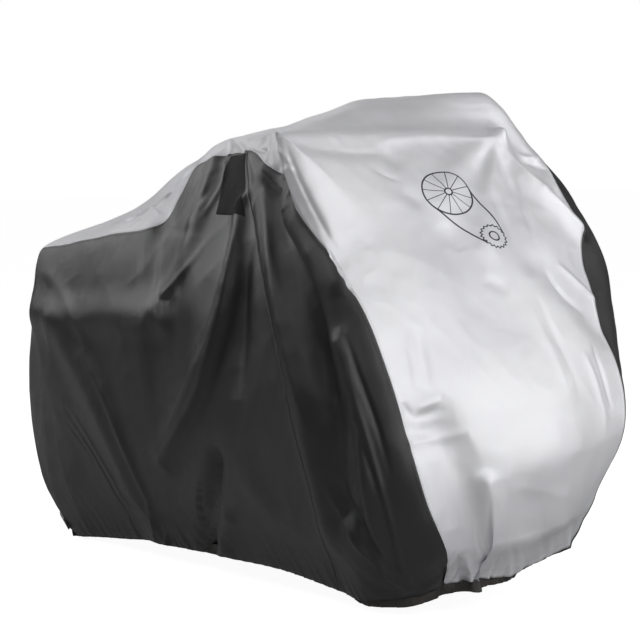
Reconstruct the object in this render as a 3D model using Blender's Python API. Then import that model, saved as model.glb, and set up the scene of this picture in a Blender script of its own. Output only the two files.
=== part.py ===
"""Fitted cover for two bicycles: a silver centre band, dark side panels and a dark hem casing.

The cover is drawn as it hangs over two bicycles that stand side by side, which are left out,
so it is a hollow shell open below. X points to the front wheels, Y to the far side and Z up.
The band runs lengthwise over the top. Its lines are drawn through stations numbered 0, at the
rear hem, to 16, at the front hem. Each side has a rear panel, whose crosswise lines start at
stations 0 to 7 and end on the hem, and a front panel, whose lines run from the upright seam
under station 7 to the band. Folds are raised on all panels alike. Neighbouring panels share
the points of their seam and are then drawn apart by the gap of a seam.
"""
import bpy
import numpy as np
from mathutils import Vector
from mathutils.bvhtree import BVHTree

# ---- driving dimensions, metres ----
CLOTH = 0.002            # thickness of every panel
SEAM_GAP = 0.0004        # between two panels, and between a panel and the casing
ORIGIN = (-0.0174, 0.0921, -0.0004)   # the row's origin, in the frame that the lines are drawn in
CASING_HEIGHT = 0.030
CASING_THICK = 0.0036
CASING_LEAN = 0.30       # inward step of its lower edge, as a share of its height
CASING_PROUD = 0.0006    # how far its outer face stands out from the panels
PATCH_GAP = 0.0014
PATCH_THICK = 0.0012

# ---- fineness of the net ----
COLUMNS_REAR = 38        # station 0 to the notch
COLUMNS_FRONT = 25       # notch to station 16
ROWS_BAND = 14
ROWS_SIDE = 12           # seam to hem on a rear panel
ROWS_FRONT = 8           # upright seam to band on a front panel
LINES_FRONT = COLUMNS_FRONT - 1   # notch to hem on a front panel, two for each row of a rear one
NOTCH = 7.0              # station where the vertical seams start
LAST = 16.0

# ---- lengthwise lines: station, x, y, z ----
NEAR_SEAM = (
    (0.0, -0.775, -0.212, 0.030),
    (0.5, -0.826, -0.232, 0.090),
    (1.0, -0.876, -0.242, 0.170),
    (2.0, -0.928, -0.250, 0.440),
    (2.6, -0.880, -0.250, 0.640),
    (3.0, -0.850, -0.250, 0.745),
    (3.5, -0.720, -0.250, 0.763),
    (4.0, -0.580, -0.245, 0.782),
    (4.4, -0.445, -0.245, 0.800),
    (4.7, -0.325, -0.230, 0.813),
    (5.0, -0.280, -0.200, 0.832),
    (5.5, -0.258, -0.165, 0.900),
    (6.0, -0.235, -0.130, 0.973),
    (6.4, -0.149, -0.105, 0.994),
    (6.7, -0.105, -0.100, 1.004),
    (7.0, -0.034, -0.100, 1.009),
    (7.5, 0.115, -0.140, 0.978),
    (8.0, 0.297, -0.200, 0.965),
    (8.5, 0.450, -0.270, 0.905),
    (9.0, 0.490, -0.280, 0.878),
    (10.0, 0.640, -0.265, 0.756),
    (11.0, 0.732, -0.250, 0.651),
    (12.0, 0.793, -0.240, 0.546),
    (13.0, 0.862, -0.225, 0.395),
    (14.0, 0.887, -0.200, 0.270),
    (15.0, 0.900, -0.150, 0.158),
    (16.0, 0.851, -0.100, 0.073),
)
NEAR_SHOULDER = (
    (0.0, -0.790, -0.070, 0.040),
    (1.0, -0.910, -0.080, 0.190),
    (2.0, -0.955, -0.090, 0.470),
    (3.0, -0.870, -0.100, 0.783),
    (4.0, -0.590, -0.100, 0.852),
    (5.0, -0.330, -0.100, 0.930),
    (6.0, -0.240, -0.070, 1.025),
    (7.0, -0.020, -0.060, 1.050),
    (8.0, 0.280, -0.170, 1.040),
    (9.0, 0.420, -0.288, 1.047),
    (10.0, 0.625, -0.130, 0.825),
    (11.0, 0.725, -0.100, 0.710),
    (12.0, 0.795, -0.085, 0.600),
    (13.0, 0.885, -0.070, 0.435),
    (14.0, 0.922, -0.060, 0.300),
    (15.0, 0.925, -0.040, 0.170),
    (16.0, 0.862, -0.030, 0.082),
)
RIDGE = (
    (0.0, -0.800, 0.070, 0.050),
    (1.0, -0.920, 0.070, 0.200),
    (2.0, -0.960, 0.070, 0.500),
    (3.0, -0.870, 0.050, 0.822),
    (3.5, -0.750, 0.060, 0.868),
    (4.0, -0.600, 0.050, 0.954),
    (4.5, -0.520, 0.050, 0.985),
    (5.0, -0.420, 0.030, 1.008),
    (6.0, -0.250, 0.000, 1.040),
    (7.0, 0.000, 0.000, 1.070),
    (8.0, 0.250, 0.060, 1.127),
    (9.0, 0.420, 0.000, 1.050),
    (10.0, 0.610, 0.050, 0.855),
    (11.0, 0.715, 0.070, 0.735),
    (12.0, 0.790, 0.090, 0.625),
    (13.0, 0.890, 0.100, 0.465),
    (14.0, 0.935, 0.100, 0.330),
    (15.0, 0.930, 0.100, 0.190),
    (16.0, 0.860, 0.060, 0.090),
)
FAR_SHOULDER = (
    (0.0, -0.790, 0.200, 0.040),
    (1.0, -0.910, 0.220, 0.190),
    (2.0, -0.955, 0.240, 0.470),
    (3.0, -0.870, 0.230, 0.800),
    (4.0, -0.590, 0.220, 0.900),
    (5.0, -0.350, 0.200, 0.980),
    (6.0, -0.220, 0.170, 1.015),
    (7.0, 0.000, 0.170, 1.060),
    (8.0, 0.325, 0.315, 1.140),
    (9.0, 0.420, 0.300, 1.043),
    (10.0, 0.600, 0.290, 0.870),
    (11.0, 0.700, 0.250, 0.760),
    (12.0, 0.770, 0.260, 0.650),
    (13.0, 0.855, 0.270, 0.480),
    (14.0, 0.890, 0.260, 0.345),
    (15.0, 0.880, 0.220, 0.220),
    (16.0, 0.835, 0.160, 0.116),
)
FAR_SEAM = (
    (0.0, -0.760, 0.330, 0.030),
    (1.0, -0.870, 0.360, 0.170),
    (2.0, -0.930, 0.385, 0.440),
    (3.0, -0.850, 0.390, 0.745),
    (4.0, -0.580, 0.385, 0.780),
    (5.0, -0.300, 0.370, 0.825),
    (6.0, -0.200, 0.300, 0.950),
    (7.0, 0.000, 0.300, 0.990),
    (8.0, 0.330, 0.420, 1.030),
    (8.7, 0.450, 0.428, 0.975),
    (9.0, 0.495, 0.428, 0.928),
    (10.0, 0.590, 0.415, 0.835),
    (11.0, 0.665, 0.385, 0.735),
    (12.0, 0.740, 0.380, 0.620),
    (13.0, 0.820, 0.376, 0.490),
    (14.0, 0.862, 0.343, 0.370),
    (15.0, 0.855, 0.274, 0.245),
    (16.0, 0.800, 0.257, 0.150),
)

# ---- rear panels: station, where its crosswise line ends on the hem (x, y, z), ----
# ---- how far the line bows forward, how far it stands out sideways              ----
NEAR_SIDE = (
    (0.0, -0.738, -0.206, 0.031, 0.000, 0.000),
    (1.0, -0.690, -0.203, 0.036, 0.000, 0.020),
    (2.0, -0.600, -0.200, 0.044, 0.000, 0.050),
    (3.0, -0.500, -0.200, 0.052, 0.000, 0.075),
    (4.0, -0.350, -0.205, 0.064, 0.020, 0.080),
    (5.0, -0.100, -0.210, 0.066, 0.060, 0.095),
    (6.0, 0.250, -0.215, 0.073, 0.120, 0.130),
    (7.0, 0.569, -0.220, 0.056, 0.180, 0.140),
)
FAR_SIDE = (
    (0.0, -0.735, 0.325, 0.031, 0.000, 0.000),
    (1.0, -0.690, 0.325, 0.036, 0.000, 0.010),
    (2.0, -0.610, 0.325, 0.044, 0.000, 0.020),
    (3.0, -0.520, 0.330, 0.054, 0.000, 0.035),
    (4.0, -0.380, 0.335, 0.064, 0.010, 0.050),
    (5.0, -0.150, 0.340, 0.070, 0.040, 0.070),
    (6.0, 0.150, 0.340, 0.075, 0.090, 0.110),
    (7.0, 0.400, 0.340, 0.080, 0.150, 0.130),
)
# ---- front panels: share of the way from notch to hem, how far the line from the ----
# ---- upright seam to the band bows forward, stands out sideways and is raised    ----
NEAR_FRONT = (
    (0.00, 0.000, 0.000, 0.000),
    (0.15, 0.010, 0.012, 0.000),
    (0.30, 0.015, 0.025, 0.000),
    (0.50, 0.015, 0.036, 0.000),
    (0.70, 0.015, 0.042, 0.000),
    (0.85, 0.015, 0.050, -0.005),
    (1.00, 0.015, 0.050, -0.020),
)
FAR_FRONT = (
    (0.00, 0.000, 0.000, 0.000),
    (0.15, 0.040, 0.052, 0.000),
    (0.30, 0.058, 0.078, 0.000),
    (0.50, 0.064, 0.086, 0.000),
    (0.70, 0.045, 0.055, 0.000),
    (0.85, 0.000, 0.025, 0.000),
    (1.00, 0.000, 0.030, -0.010),
)
SIDE_ROWS = (0.15, 0.38, 0.62, 0.85)   # where a side's net is knotted, as shares from seam to hem
SIDE_ROUND = 0.6                       # below 1 the bow and the bulge rise fast and stay flat

# ---- folds: seen from, start, middle and end in that view, half width at start and end, height ----
# ---- views: near and far see (x, z), front and rear (y, z), top (x, y); a trough has height < 0 ----
FOLDS = (
    ("near", (0.100, 0.880), (0.135, 0.600), (-0.120, 0.270), 0.030, 0.040, 0.022),
    ("near", (-0.175, 0.985), (-0.070, 0.800), (-0.160, 0.640), 0.025, 0.040, 0.012),
    ("near", (-0.660, 0.560), (-0.420, 0.330), (-0.280, 0.030), 0.060, 0.050, 0.016),
    ("near", (-0.800, 0.585), (-0.500, 0.590), (-0.120, 0.600), 0.050, 0.040, 0.016),
    ("near", (-0.110, 0.030), (0.050, 0.160), (0.140, 0.290), 0.024, 0.030, -0.020),
    ("near", (-0.030, 0.030), (0.050, 0.090), (0.140, 0.150), 0.022, 0.022, 0.010),
    ("near", (0.160, 0.960), (0.530, 0.680), (0.700, 0.230), 0.040, 0.060, -0.035),
    ("near", (0.180, 0.900), (0.460, 0.610), (0.630, 0.150), 0.030, 0.040, 0.012),
    ("near", (0.690, 0.600), (0.775, 0.370), (0.790, 0.030), 0.025, 0.022, 0.014),
    ("near", (0.750, 0.410), (0.765, 0.300), (0.770, 0.100), 0.020, 0.020, -0.008),
    ("near", (0.400, 1.030), (0.320, 0.995), (0.220, 0.960), 0.020, 0.030, -0.014),
    ("near", (0.425, 1.045), (0.500, 0.930), (0.660, 0.735), 0.020, 0.030, 0.012),
    ("front", (0.290, 1.035), (0.170, 0.985), (0.050, 0.895), 0.020, 0.040, 0.012),
    ("front", (0.300, 1.030), (0.215, 0.935), (0.115, 0.800), 0.020, 0.035, 0.010),
    ("front", (0.305, 1.035), (0.325, 0.940), (0.420, 0.830), 0.020, 0.025, 0.014),
    ("front", (0.030, 0.880), (0.020, 0.790), (0.020, 0.690), 0.050, 0.050, -0.010),
    ("front", (0.240, 0.760), (0.300, 0.690), (0.360, 0.610), 0.045, 0.045, -0.012),
    ("front", (-0.165, 0.420), (-0.115, 0.290), (-0.085, 0.060), 0.060, 0.050, -0.028),
    ("front", (-0.062, 0.300), (-0.052, 0.190), (-0.045, 0.040), 0.020, 0.020, 0.018),
    ("front", (0.060, 0.240), (0.120, 0.150), (0.170, 0.080), 0.050, 0.030, -0.014),
    ("top", (0.420, -0.270), (0.422, 0.000), (0.420, 0.290), 0.025, 0.025, 0.010),
    ("top", (0.250, 0.020), (0.290, 0.180), (0.325, 0.320), 0.035, 0.030, 0.008),
    ("rear", (-0.150, 0.720), (-0.120, 0.420), (-0.100, 0.060), 0.045, 0.050, 0.014),
    ("rear", (0.060, 0.660), (0.030, 0.360), (0.020, 0.040), 0.050, 0.050, -0.018),
    ("rear", (0.250, 0.720), (0.210, 0.400), (0.160, 0.050), 0.045, 0.050, 0.014),
    ("far", (0.020, 0.930), (0.060, 0.600), (-0.120, 0.200), 0.035, 0.045, 0.018),
    ("far", (0.330, 0.930), (0.500, 0.620), (0.530, 0.140), 0.045, 0.060, -0.028),
    ("far", (-0.660, 0.580), (-0.420, 0.330), (-0.300, 0.030), 0.055, 0.050, 0.014),
    ("far", (-0.780, 0.600), (-0.450, 0.610), (-0.100, 0.620), 0.050, 0.040, 0.014),
    ("far", (-0.020, 0.030), (0.060, 0.160), (0.120, 0.300), 0.030, 0.035, -0.016),
)
VIEWS = {"near": ((0, 2), (0, -1, 0)), "far": ((0, 2), (0, 1, 0)), "front": ((1, 2), (1, 0, 0)),
         "rear": ((1, 2), (-1, 0, 0)), "top": ((0, 1), (0, 0, 1))}
FACING = (0.20, 0.55)    # a fold fades where the cloth turns away from its view
LEVEL = (0.05, 0.25)     # up to these heights folds push the cloth level, so the hem keeps its line
FOLD_STEPS = 12          # short straight runs that a fold's line is measured along

# ---- patch, in the near view: corners from top rear to bottom front (x, z) ----
PATCH_TOP = ((-0.122, 0.980), (-0.046, 0.992))
PATCH_FOOT = ((-0.018, 0.860), (0.108, 0.858))
PATCH_CELLS = (7, 8)

# ---- finishes: colour, roughness, metallic ----
SILVER = ((0.62, 0.62, 0.65), 0.42, 0.25)
CHARCOAL = ((0.035, 0.035, 0.038), 0.45, 0.0)
BLACK = ((0.012, 0.012, 0.013), 0.55, 0.0)
CASING_BROWN = ((0.045, 0.043, 0.040), 0.60, 0.0)


def smooth(knots, values, at):
    """Cubic through the rows of values that rises and falls only where they do."""
    knots = np.asarray(knots, float)
    values = np.asarray(values, float).reshape(len(knots), -1)
    span = np.diff(knots)[:, None]
    slope = np.diff(values, axis=0) / span
    same = slope[1:] * slope[:-1] > 0
    before = np.where(same, slope[:-1], 1.0)
    after = np.where(same, slope[1:], 1.0)
    w_before = 2 * span[1:] + span[:-1]
    w_after = span[1:] + 2 * span[:-1]
    inner = np.where(same, (w_before + w_after) / (w_before / before + w_after / after), 0.0)
    tangent = np.concatenate([slope[:1], inner, slope[-1:]])
    i = np.clip(np.searchsorted(knots, at, side="right") - 1, 0, len(knots) - 2)
    t = ((at - knots[i]) / span[i, 0])[:, None]
    rise = (1 + 2 * t) * (1 - t) ** 2 * values[i] + t * t * (3 - 2 * t) * values[i + 1]
    lean = t * (1 - t) ** 2 * tangent[i] - t * t * (1 - t) * tangent[i + 1]
    return rise + span[i] * lean


def table_at(table, stations):
    """Columns of a table worked out at any stations."""
    rows = np.array(table)
    return smooth(rows[:, 0], rows[:, 1:], stations)


def side_rows(seam, table, stations, outward):
    """Knot rows of one side, from the seam down, and its hem row."""
    ends = table_at(table, stations)
    hem = ends[:, :3]
    push = ends[:, 3:4] * np.array([1.0, 0.0, 0.0]) + ends[:, 4:5] * np.array([0.0, outward, 0.0])
    rows = [seam + share * (hem - seam) + np.sin(np.pi * share) ** SIDE_ROUND * push
            for share in SIDE_ROWS]
    return rows, hem


def station_columns():
    """Stations of the net's columns, at even steps of length along the cover."""
    fine = np.linspace(0.0, LAST, 1601)
    middle = (table_at(NEAR_SEAM, fine) + table_at(RIDGE, fine)) / 2
    run = np.concatenate([[0.0], np.cumsum(np.linalg.norm(np.diff(middle, axis=0), axis=1))])
    notch = np.interp(NOTCH, fine, run)
    rear = np.interp(np.linspace(0.0, notch, COLUMNS_REAR + 1), run, fine)
    front = np.interp(np.linspace(notch, run[-1], COLUMNS_FRONT + 1), run, fine)
    return np.concatenate([rear, front[1:]])


def rear_and_band():
    """Points of the band and the two rear panels, as rows from hem or seam to seam or hem."""
    stations = station_columns()
    behind = stations[:COLUMNS_REAR + 1]
    seam_near = table_at(NEAR_SEAM, stations)
    seam_far = table_at(FAR_SEAM, stations)
    near, near_hem = side_rows(seam_near[:len(behind)], NEAR_SIDE, behind, -1.0)
    far, far_hem = side_rows(seam_far[:len(behind)], FAR_SIDE, behind, 1.0)
    top = [seam_near] + [table_at(t, stations) for t in (NEAR_SHOULDER, RIDGE, FAR_SHOULDER)]
    top.append(seam_far)
    # rows behind the notch run from hem to hem, and those in front of it from seam to seam
    whole = np.array([near_hem] + near[::-1] + [row[:len(behind)] for row in top] + far + [far_hem])
    knots = chord_knots(whole)
    first, last = knots[len(near) + 1], knots[len(near) + len(top)]
    band_rows = np.linspace(first, last, ROWS_BAND + 1)
    near_rear = across(knots, whole, np.linspace(0.0, first, ROWS_SIDE + 1))
    far_rear = across(knots, whole, np.linspace(last, knots[-1], ROWS_SIDE + 1))
    band = across(knots[len(near) + 1:len(near) + len(top) + 1], np.array(top), band_rows)
    band[:, :len(behind)] = across(knots, whole, band_rows)
    return near_rear, band, far_rear


def chord_knots(net):
    """A knot for each row of a net, spaced as far apart as the rows are on the whole."""
    steps = np.linalg.norm(np.diff(net, axis=0), axis=2).mean(axis=1)
    return np.concatenate([[0.0], np.cumsum(steps)])


def across(knots, net, rows):
    """A net worked out at any rows."""
    return smooth(knots, net.reshape(len(net), -1), rows).reshape(len(rows), *net.shape[1:])


def front_panel(upright, beside, seam, above, table, outward):
    """Points of a front panel. Each line runs from the upright seam to the band's seam, and it
    is shaped by the points beside those seams too, so that the cloth turns no corner there."""
    share = np.linspace(0.0, 1.0, LINES_FRONT + 1)
    push = table_at(table, share) * np.array([1.0, outward, 1.0])
    thirds = [upright + (seam - upright) * k / 3 + push for k in (1, 2)]
    net = np.array([beside, upright] + thirds + [seam, above])
    knots = chord_knots(net)
    return across(knots, net, np.linspace(knots[1], knots[-2], ROWS_FRONT + 1))


def halved(line):
    """A line of points with the middle of each run added."""
    finer = np.empty((2 * len(line) - 1, line.shape[1]))
    finer[::2] = line
    finer[1::2] = (line[:-1] + line[1:]) / 2
    return finer


def drawn_panels():
    """All panels without their folds."""
    near_rear, band, far_rear = rear_and_band()
    first = COLUMNS_REAR + 1
    near_front = front_panel(halved(near_rear[::-1, -1]), halved(near_rear[::-1, -2]),
                             band[0, first:], band[1, first:], NEAR_FRONT, -1.0)
    far_front = front_panel(halved(far_rear[:, -1]), halved(far_rear[:, -2]),
                            band[-1, first:], band[-2, first:], FAR_FRONT, 1.0)
    return {"band": band, "side_near_rear": near_rear, "side_far_rear": far_rear,
            "side_near_front": near_front, "side_far_front": far_front[::-1]}


def unit(vectors):
    return vectors / np.linalg.norm(vectors, axis=-1, keepdims=True)


def shared_normals(panels):
    """Unit normals that point out of the cover, the same on both sides of a seam."""
    points = np.concatenate([grid.reshape(-1, 3) for grid in panels.values()])
    same = np.unique(np.round(points, 6), axis=0, return_inverse=True)[1].ravel()
    total = np.zeros((same.max() + 1, 3))
    start = 0
    for grid in panels.values():
        place = same[start:start + grid[..., 0].size].reshape(grid.shape[:2])
        start += grid[..., 0].size
        square = np.cross(grid[1:, 1:] - grid[:-1, :-1], grid[1:, :-1] - grid[:-1, 1:])
        for corner in (place[:-1, :-1], place[:-1, 1:], place[1:, 1:], place[1:, :-1]):
            np.add.at(total, corner.ravel(), square.reshape(-1, 3))
    normals = unit(total)[same]
    cuts = np.cumsum([grid[..., 0].size for grid in panels.values()])[:-1]
    parts = np.split(normals, cuts)
    return {name: part.reshape(grid.shape) for (name, grid), part in zip(panels.items(), parts)}


def follow_seams(panels):
    """Lays the front panels' extra seam points straight between those of their neighbours."""
    share = np.linspace(0.0, 1.0, ROWS_FRONT + 1)[:, None]
    for grid in (panels["side_near_front"], panels["side_far_front"][::-1]):
        grid[0, 1::2] = (grid[0, :-1:2] + grid[0, 2::2]) / 2
        grid[:, 0] = (1 - share) * grid[0, 0] + share * grid[-1, 0]


def ease(value, low, high):
    """0 below low, 1 above high and a soft step between."""
    t = np.clip((value - low) / (high - low), 0.0, 1.0)
    return t * t * (3 - 2 * t)


def fold_heights(points, normals):
    """Height of all folds at each point: each falls off to both sides of its curved line."""
    total = np.zeros(points.shape[:2])
    steps = np.linspace(0.0, 1.0, FOLD_STEPS + 1)[:, None]
    for view, start, middle, end, width_start, width_end, height in FOLDS:
        axes, toward = VIEWS[view]
        facing = ease(normals @ np.array(toward, float), *FACING)
        seen = points[:, :, axes]
        a, m, b = (np.array(p) for p in (start, middle, end))
        line = (1 - steps) * (1 - 2 * steps) * a + 4 * steps * (1 - steps) * m
        line = line + steps * (2 * steps - 1) * b
        nearest = np.full(total.shape, np.inf)
        along = np.zeros(total.shape)
        for k in range(FOLD_STEPS):
            run = line[k + 1] - line[k]
            t = np.clip(((seen - line[k]) @ run) / (run @ run), 0.0, 1.0)
            away = np.linalg.norm(seen - line[k] - t[..., None] * run, axis=2)
            closer = away < nearest
            nearest = np.where(closer, away, nearest)
            along = np.where(closer, (k + t) / FOLD_STEPS, along)
        width = width_start + (width_end - width_start) * along
        total += height * facing * np.exp(-(nearest / width) ** 2)
    return total


def folded_panels():
    """All panels with their folds, moved to the row's origin, and their normals."""
    panels = drawn_panels()
    normals = shared_normals(panels)
    for name, grid in panels.items():
        way = normals[name].copy()
        way[..., 2] *= ease(grid[..., 2], *LEVEL)
        panels[name] = grid + fold_heights(grid, normals[name])[..., None] * way - np.array(ORIGIN)
    follow_seams(panels)
    normals = shared_normals(panels)
    follow_seams(normals)
    return panels, {name: unit(part) for name, part in normals.items()}


def finish(name, vertices, triangles, look):
    """A closed mesh object with its faces pointing out and its own material."""
    vertices = np.asarray(vertices)
    triangles = np.asarray(triangles)
    a, b, c = (vertices[triangles[:, k]] for k in range(3))
    if np.einsum("ij,ij->", a, np.cross(b, c)) < 0:
        triangles = triangles[:, ::-1]
    mesh = bpy.data.meshes.new(name)
    mesh.from_pydata(vertices.tolist(), [], triangles.tolist())
    mesh.shade_smooth()
    material = bpy.data.materials.new(name)
    material.use_nodes = True
    shader = material.node_tree.nodes["Principled BSDF"]
    colour, roughness, metallic = look
    shader.inputs["Base Color"].default_value = (*colour, 1.0)
    shader.inputs["Roughness"].default_value = roughness
    shader.inputs["Metallic"].default_value = metallic
    mesh.materials.append(material)
    piece = bpy.data.objects.new(name, mesh)
    bpy.context.collection.objects.link(piece)
    return piece


def split_quads(a, b, c, d, rising):
    """Two triangles for each quad a b c d, cut from a to c, or from b to d if rising."""
    if rising:
        return np.concatenate([np.stack([a, b, d], -1), np.stack([b, c, d], -1)])
    return np.concatenate([np.stack([a, b, c], -1), np.stack([a, c, d], -1)])


def sheet(name, outer, inner, look, rising=False):
    """A sheet between an outer and an inner grid, closed along its four edges."""
    rows, columns = outer.shape[:2]
    count = rows * columns
    index = np.arange(count).reshape(rows, columns)
    quads = (index[:-1, :-1], index[:-1, 1:], index[1:, 1:], index[1:, :-1])
    top = split_quads(*(q.ravel() for q in quads), rising)
    triangles = [top, (top + count)[:, ::-1]]
    # both sides of a seam cut their walls on the same slant, so the twisted walls stay apart
    for edge, turned in ((index[0], 1), (index[-1], -1), (index[:, 0], -1), (index[:, -1], 1)):
        here, after = edge[:-1], edge[1:]
        wall = split_quads(after, here, here + count, after + count, False)
        triangles.append(wall[:, ::turned])
    vertices = np.concatenate([outer.reshape(-1, 3), inner.reshape(-1, 3)])
    return finish(name, vertices, np.concatenate(triangles), look)


def panel(name, outer, normals, seams, look, rising=False):
    """One panel, with its seamed edges drawn in by half a gap, square to the seam."""
    half = SEAM_GAP / 2
    shift = np.zeros_like(outer)
    for seam in seams:
        edge = {"first_row": (0,), "last_row": (-1,),
                "first_column": (slice(None), 0), "last_column": (slice(None), -1)}[seam]
        inside = {"first_row": (1,), "last_row": (-2,),
                  "first_column": (slice(None), 1), "last_column": (slice(None), -2)}[seam]
        square = unit(np.cross(normals[edge], np.gradient(outer[edge], axis=0)))
        way = np.sign(np.sum((outer[inside] - outer[edge]) * square))
        shift[edge] += half * way * square
    outer = outer + shift
    return sheet(name, outer, outer - CLOTH * normals, look, rising)


def lower_edge(panels, normals):
    """The lower edge all round: its outer points, and the height that the casing starts at."""
    def run(grids):
        return np.concatenate([
            grids["side_near_rear"][0], grids["side_near_front"][1:-1, -1],
            grids["band"][:, -1], grids["side_far_front"][1:-1, -1],
            grids["side_far_rear"][-1, ::-1], grids["band"][::-1, 0]])
    out = run(panels)
    return out, out[:, 2] - np.maximum(CLOTH * run(normals)[:, 2], 0.0)


def casing(panels, normals):
    """A flat tube that closes on itself, hung under the lower edge and leaning inward."""
    out, low = lower_edge(panels, normals)
    ahead = np.roll(out, -1, axis=0) - np.roll(out, 1, axis=0)
    away = unit(np.stack([ahead[:, 1], -ahead[:, 0]], axis=1))
    # outward step and drop of the section's corners, once round it
    lean = -CASING_LEAN * CASING_HEIGHT
    section = ((CASING_PROUD, 0.0), (lean + CASING_PROUD, CASING_HEIGHT),
               (lean + CASING_PROUD - CASING_THICK, CASING_HEIGHT), (CASING_PROUD - CASING_THICK, 0.0))
    rings = []
    for step, drop in section:
        ring = np.empty_like(out)
        ring[:, :2] = out[:, :2] + step * away
        ring[:, 2] = low - SEAM_GAP - drop
        rings.append(ring)
    count = len(out)
    index = np.arange(len(section) * count).reshape(len(section), count)
    a, d = index, np.roll(index, -1, axis=0)
    b, c = np.roll(a, -1, axis=1), np.roll(d, -1, axis=1)
    triangles = split_quads(a.ravel(), b.ravel(), c.ravel(), d.ravel(), False)
    return finish("hem_casing", np.concatenate(rings), triangles, CASING_BROWN)


def patch(under):
    """A four-cornered patch laid on the panel's own facets, seen from the near side."""
    cells_x, cells_z = PATCH_CELLS
    tree = BVHTree.FromPolygons([v.co for v in under.data.vertices],
                                [p.vertices for p in under.data.polygons])
    shift = np.array([ORIGIN[0], ORIGIN[2]])
    outer = np.empty((cells_z + 1, cells_x + 1, 3))
    inner = np.empty_like(outer)
    for row, down in enumerate(np.linspace(0.0, 1.0, cells_z + 1)):
        left = np.array(PATCH_TOP[0]) * (1 - down) + np.array(PATCH_FOOT[0]) * down - shift
        right = np.array(PATCH_TOP[1]) * (1 - down) + np.array(PATCH_FOOT[1]) * down - shift
        for column, along in enumerate(np.linspace(0.0, 1.0, cells_x + 1)):
            x, z = left * (1 - along) + right * along
            spot, normal = tree.ray_cast(Vector((x, -1.0, z)), Vector((0.0, 1.0, 0.0)))[:2]
            inner[row, column] = spot + normal * PATCH_GAP
            outer[row, column] = spot + normal * (PATCH_GAP + PATCH_THICK)
    return sheet("patch", outer, inner, BLACK)


def build():
    panels, normals = folded_panels()
    plan = (
        ("band", ("first_row", "last_row"), SILVER, False),
        ("side_near_rear", ("last_row", "last_column"), CHARCOAL, False),
        ("side_near_front", ("first_row", "last_row", "first_column"), CHARCOAL, True),
        ("side_far_rear", ("first_row", "last_column"), CHARCOAL, True),
        ("side_far_front", ("first_row", "last_row", "first_column"), CHARCOAL, False),
    )
    made = {name: panel(name, panels[name], normals[name], seams, look, rising)
            for name, seams, look, rising in plan}
    casing(panels, normals)
    patch(made["side_near_rear"])


for old in list(bpy.data.objects):
    bpy.data.objects.remove(old, do_unlink=True)
build()
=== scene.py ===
"""Looks of a fitted cover for two bicycles: a silver band, charcoal sides and a drawn-in hem.

X points to the front, Y to the far side and Z up. All panels are laid out on one net of lines, in
the frame that the tables are written in, and are moved to the part's own origin once they are
folded and creased. A net has rows from the near side to the far side and columns from the rear
to the front, and its faces point out of the cover.
"""

import bpy
import numpy as np
from mathutils import Euler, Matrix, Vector
from mathutils.bvhtree import BVHTree


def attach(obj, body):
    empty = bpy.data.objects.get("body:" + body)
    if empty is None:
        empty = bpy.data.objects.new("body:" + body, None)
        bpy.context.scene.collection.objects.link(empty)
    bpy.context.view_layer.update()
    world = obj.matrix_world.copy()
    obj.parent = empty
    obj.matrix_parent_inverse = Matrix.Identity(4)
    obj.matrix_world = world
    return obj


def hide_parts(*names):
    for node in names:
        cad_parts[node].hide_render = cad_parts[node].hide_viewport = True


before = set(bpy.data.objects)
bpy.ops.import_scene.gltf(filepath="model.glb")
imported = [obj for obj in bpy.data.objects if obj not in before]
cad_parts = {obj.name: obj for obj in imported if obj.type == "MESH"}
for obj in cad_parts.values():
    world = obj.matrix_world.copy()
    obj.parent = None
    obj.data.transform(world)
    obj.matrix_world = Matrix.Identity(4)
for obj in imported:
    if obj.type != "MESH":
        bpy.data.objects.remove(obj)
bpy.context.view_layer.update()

# ==== Camera, lights and floor ====
# A long lens looks at the front corner of the near side from about the handlebars' height.
# Six large soft boxes stand all round at some distance, the strongest two before the front, and
# the floor and the surroundings are plain and pale.
CAMERA_PLACE = (6.532, -4.006, 1.100)
CAMERA_DEGREES = (86.246, 0.0, 58.510)      # tilt from straight down, roll, heading
LENS_MM = 177.5
SENSOR_MM = 36.0
LIGHT_TARGET = (0.1, 0.0, 0.5)
SOFTBOXES = (
    # name, azimuth and elevation seen from the cover, distance, side in metres, power in watts
    ("front", 4.0, 30.0, 6.0, 3.6, 185.0),
    ("front_far", 56.0, 30.0, 6.0, 3.6, 96.0),
    ("front_near", -34.0, 26.0, 6.0, 2.4, 44.0),
    ("near_rear", -153.0, 28.0, 6.0, 3.2, 84.0),
    ("rear_far", 165.0, 32.0, 6.0, 3.0, 30.0),
    ("above", 0.0, 80.0, 6.0, 3.0, 34.0),
)
SURROUND = (1.0, 1.0, 1.0)
SURROUND_SEEN = 1.0
SURROUND_LIGHT = 0.12
FLOOR_SIDE = 60.0
FLOOR_COLOUR = (0.28, 0.28, 0.28, 1.0)
FLOOR_ROUGH = 0.9
FLOOR_GLOW = 0.13
FLOOR_GLOW_SEEN = 0.95

camera_data = bpy.data.cameras.new("camera")
camera_data.lens = LENS_MM
camera_data.sensor_width = SENSOR_MM
camera_data.clip_end = 100.0
camera = bpy.data.objects.new("camera", camera_data)
camera.location = CAMERA_PLACE
camera.rotation_euler = np.radians(CAMERA_DEGREES)
bpy.context.collection.objects.link(camera)
bpy.context.scene.camera = camera
bpy.context.scene.view_settings.view_transform = "Standard"

for name, azimuth, elevation, distance, side, power in SOFTBOXES:
    light = bpy.data.lights.new(name, "AREA")
    light.size = side
    light.energy = power
    softbox = bpy.data.objects.new(name, light)
    turn, rise = np.radians((azimuth, elevation))
    way = Vector((np.cos(rise) * np.cos(turn), np.cos(rise) * np.sin(turn), np.sin(rise)))
    softbox.location = Vector(LIGHT_TARGET) + distance * way
    softbox.rotation_euler = way.to_track_quat("Z", "Y").to_euler()
    bpy.context.collection.objects.link(softbox)

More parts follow.
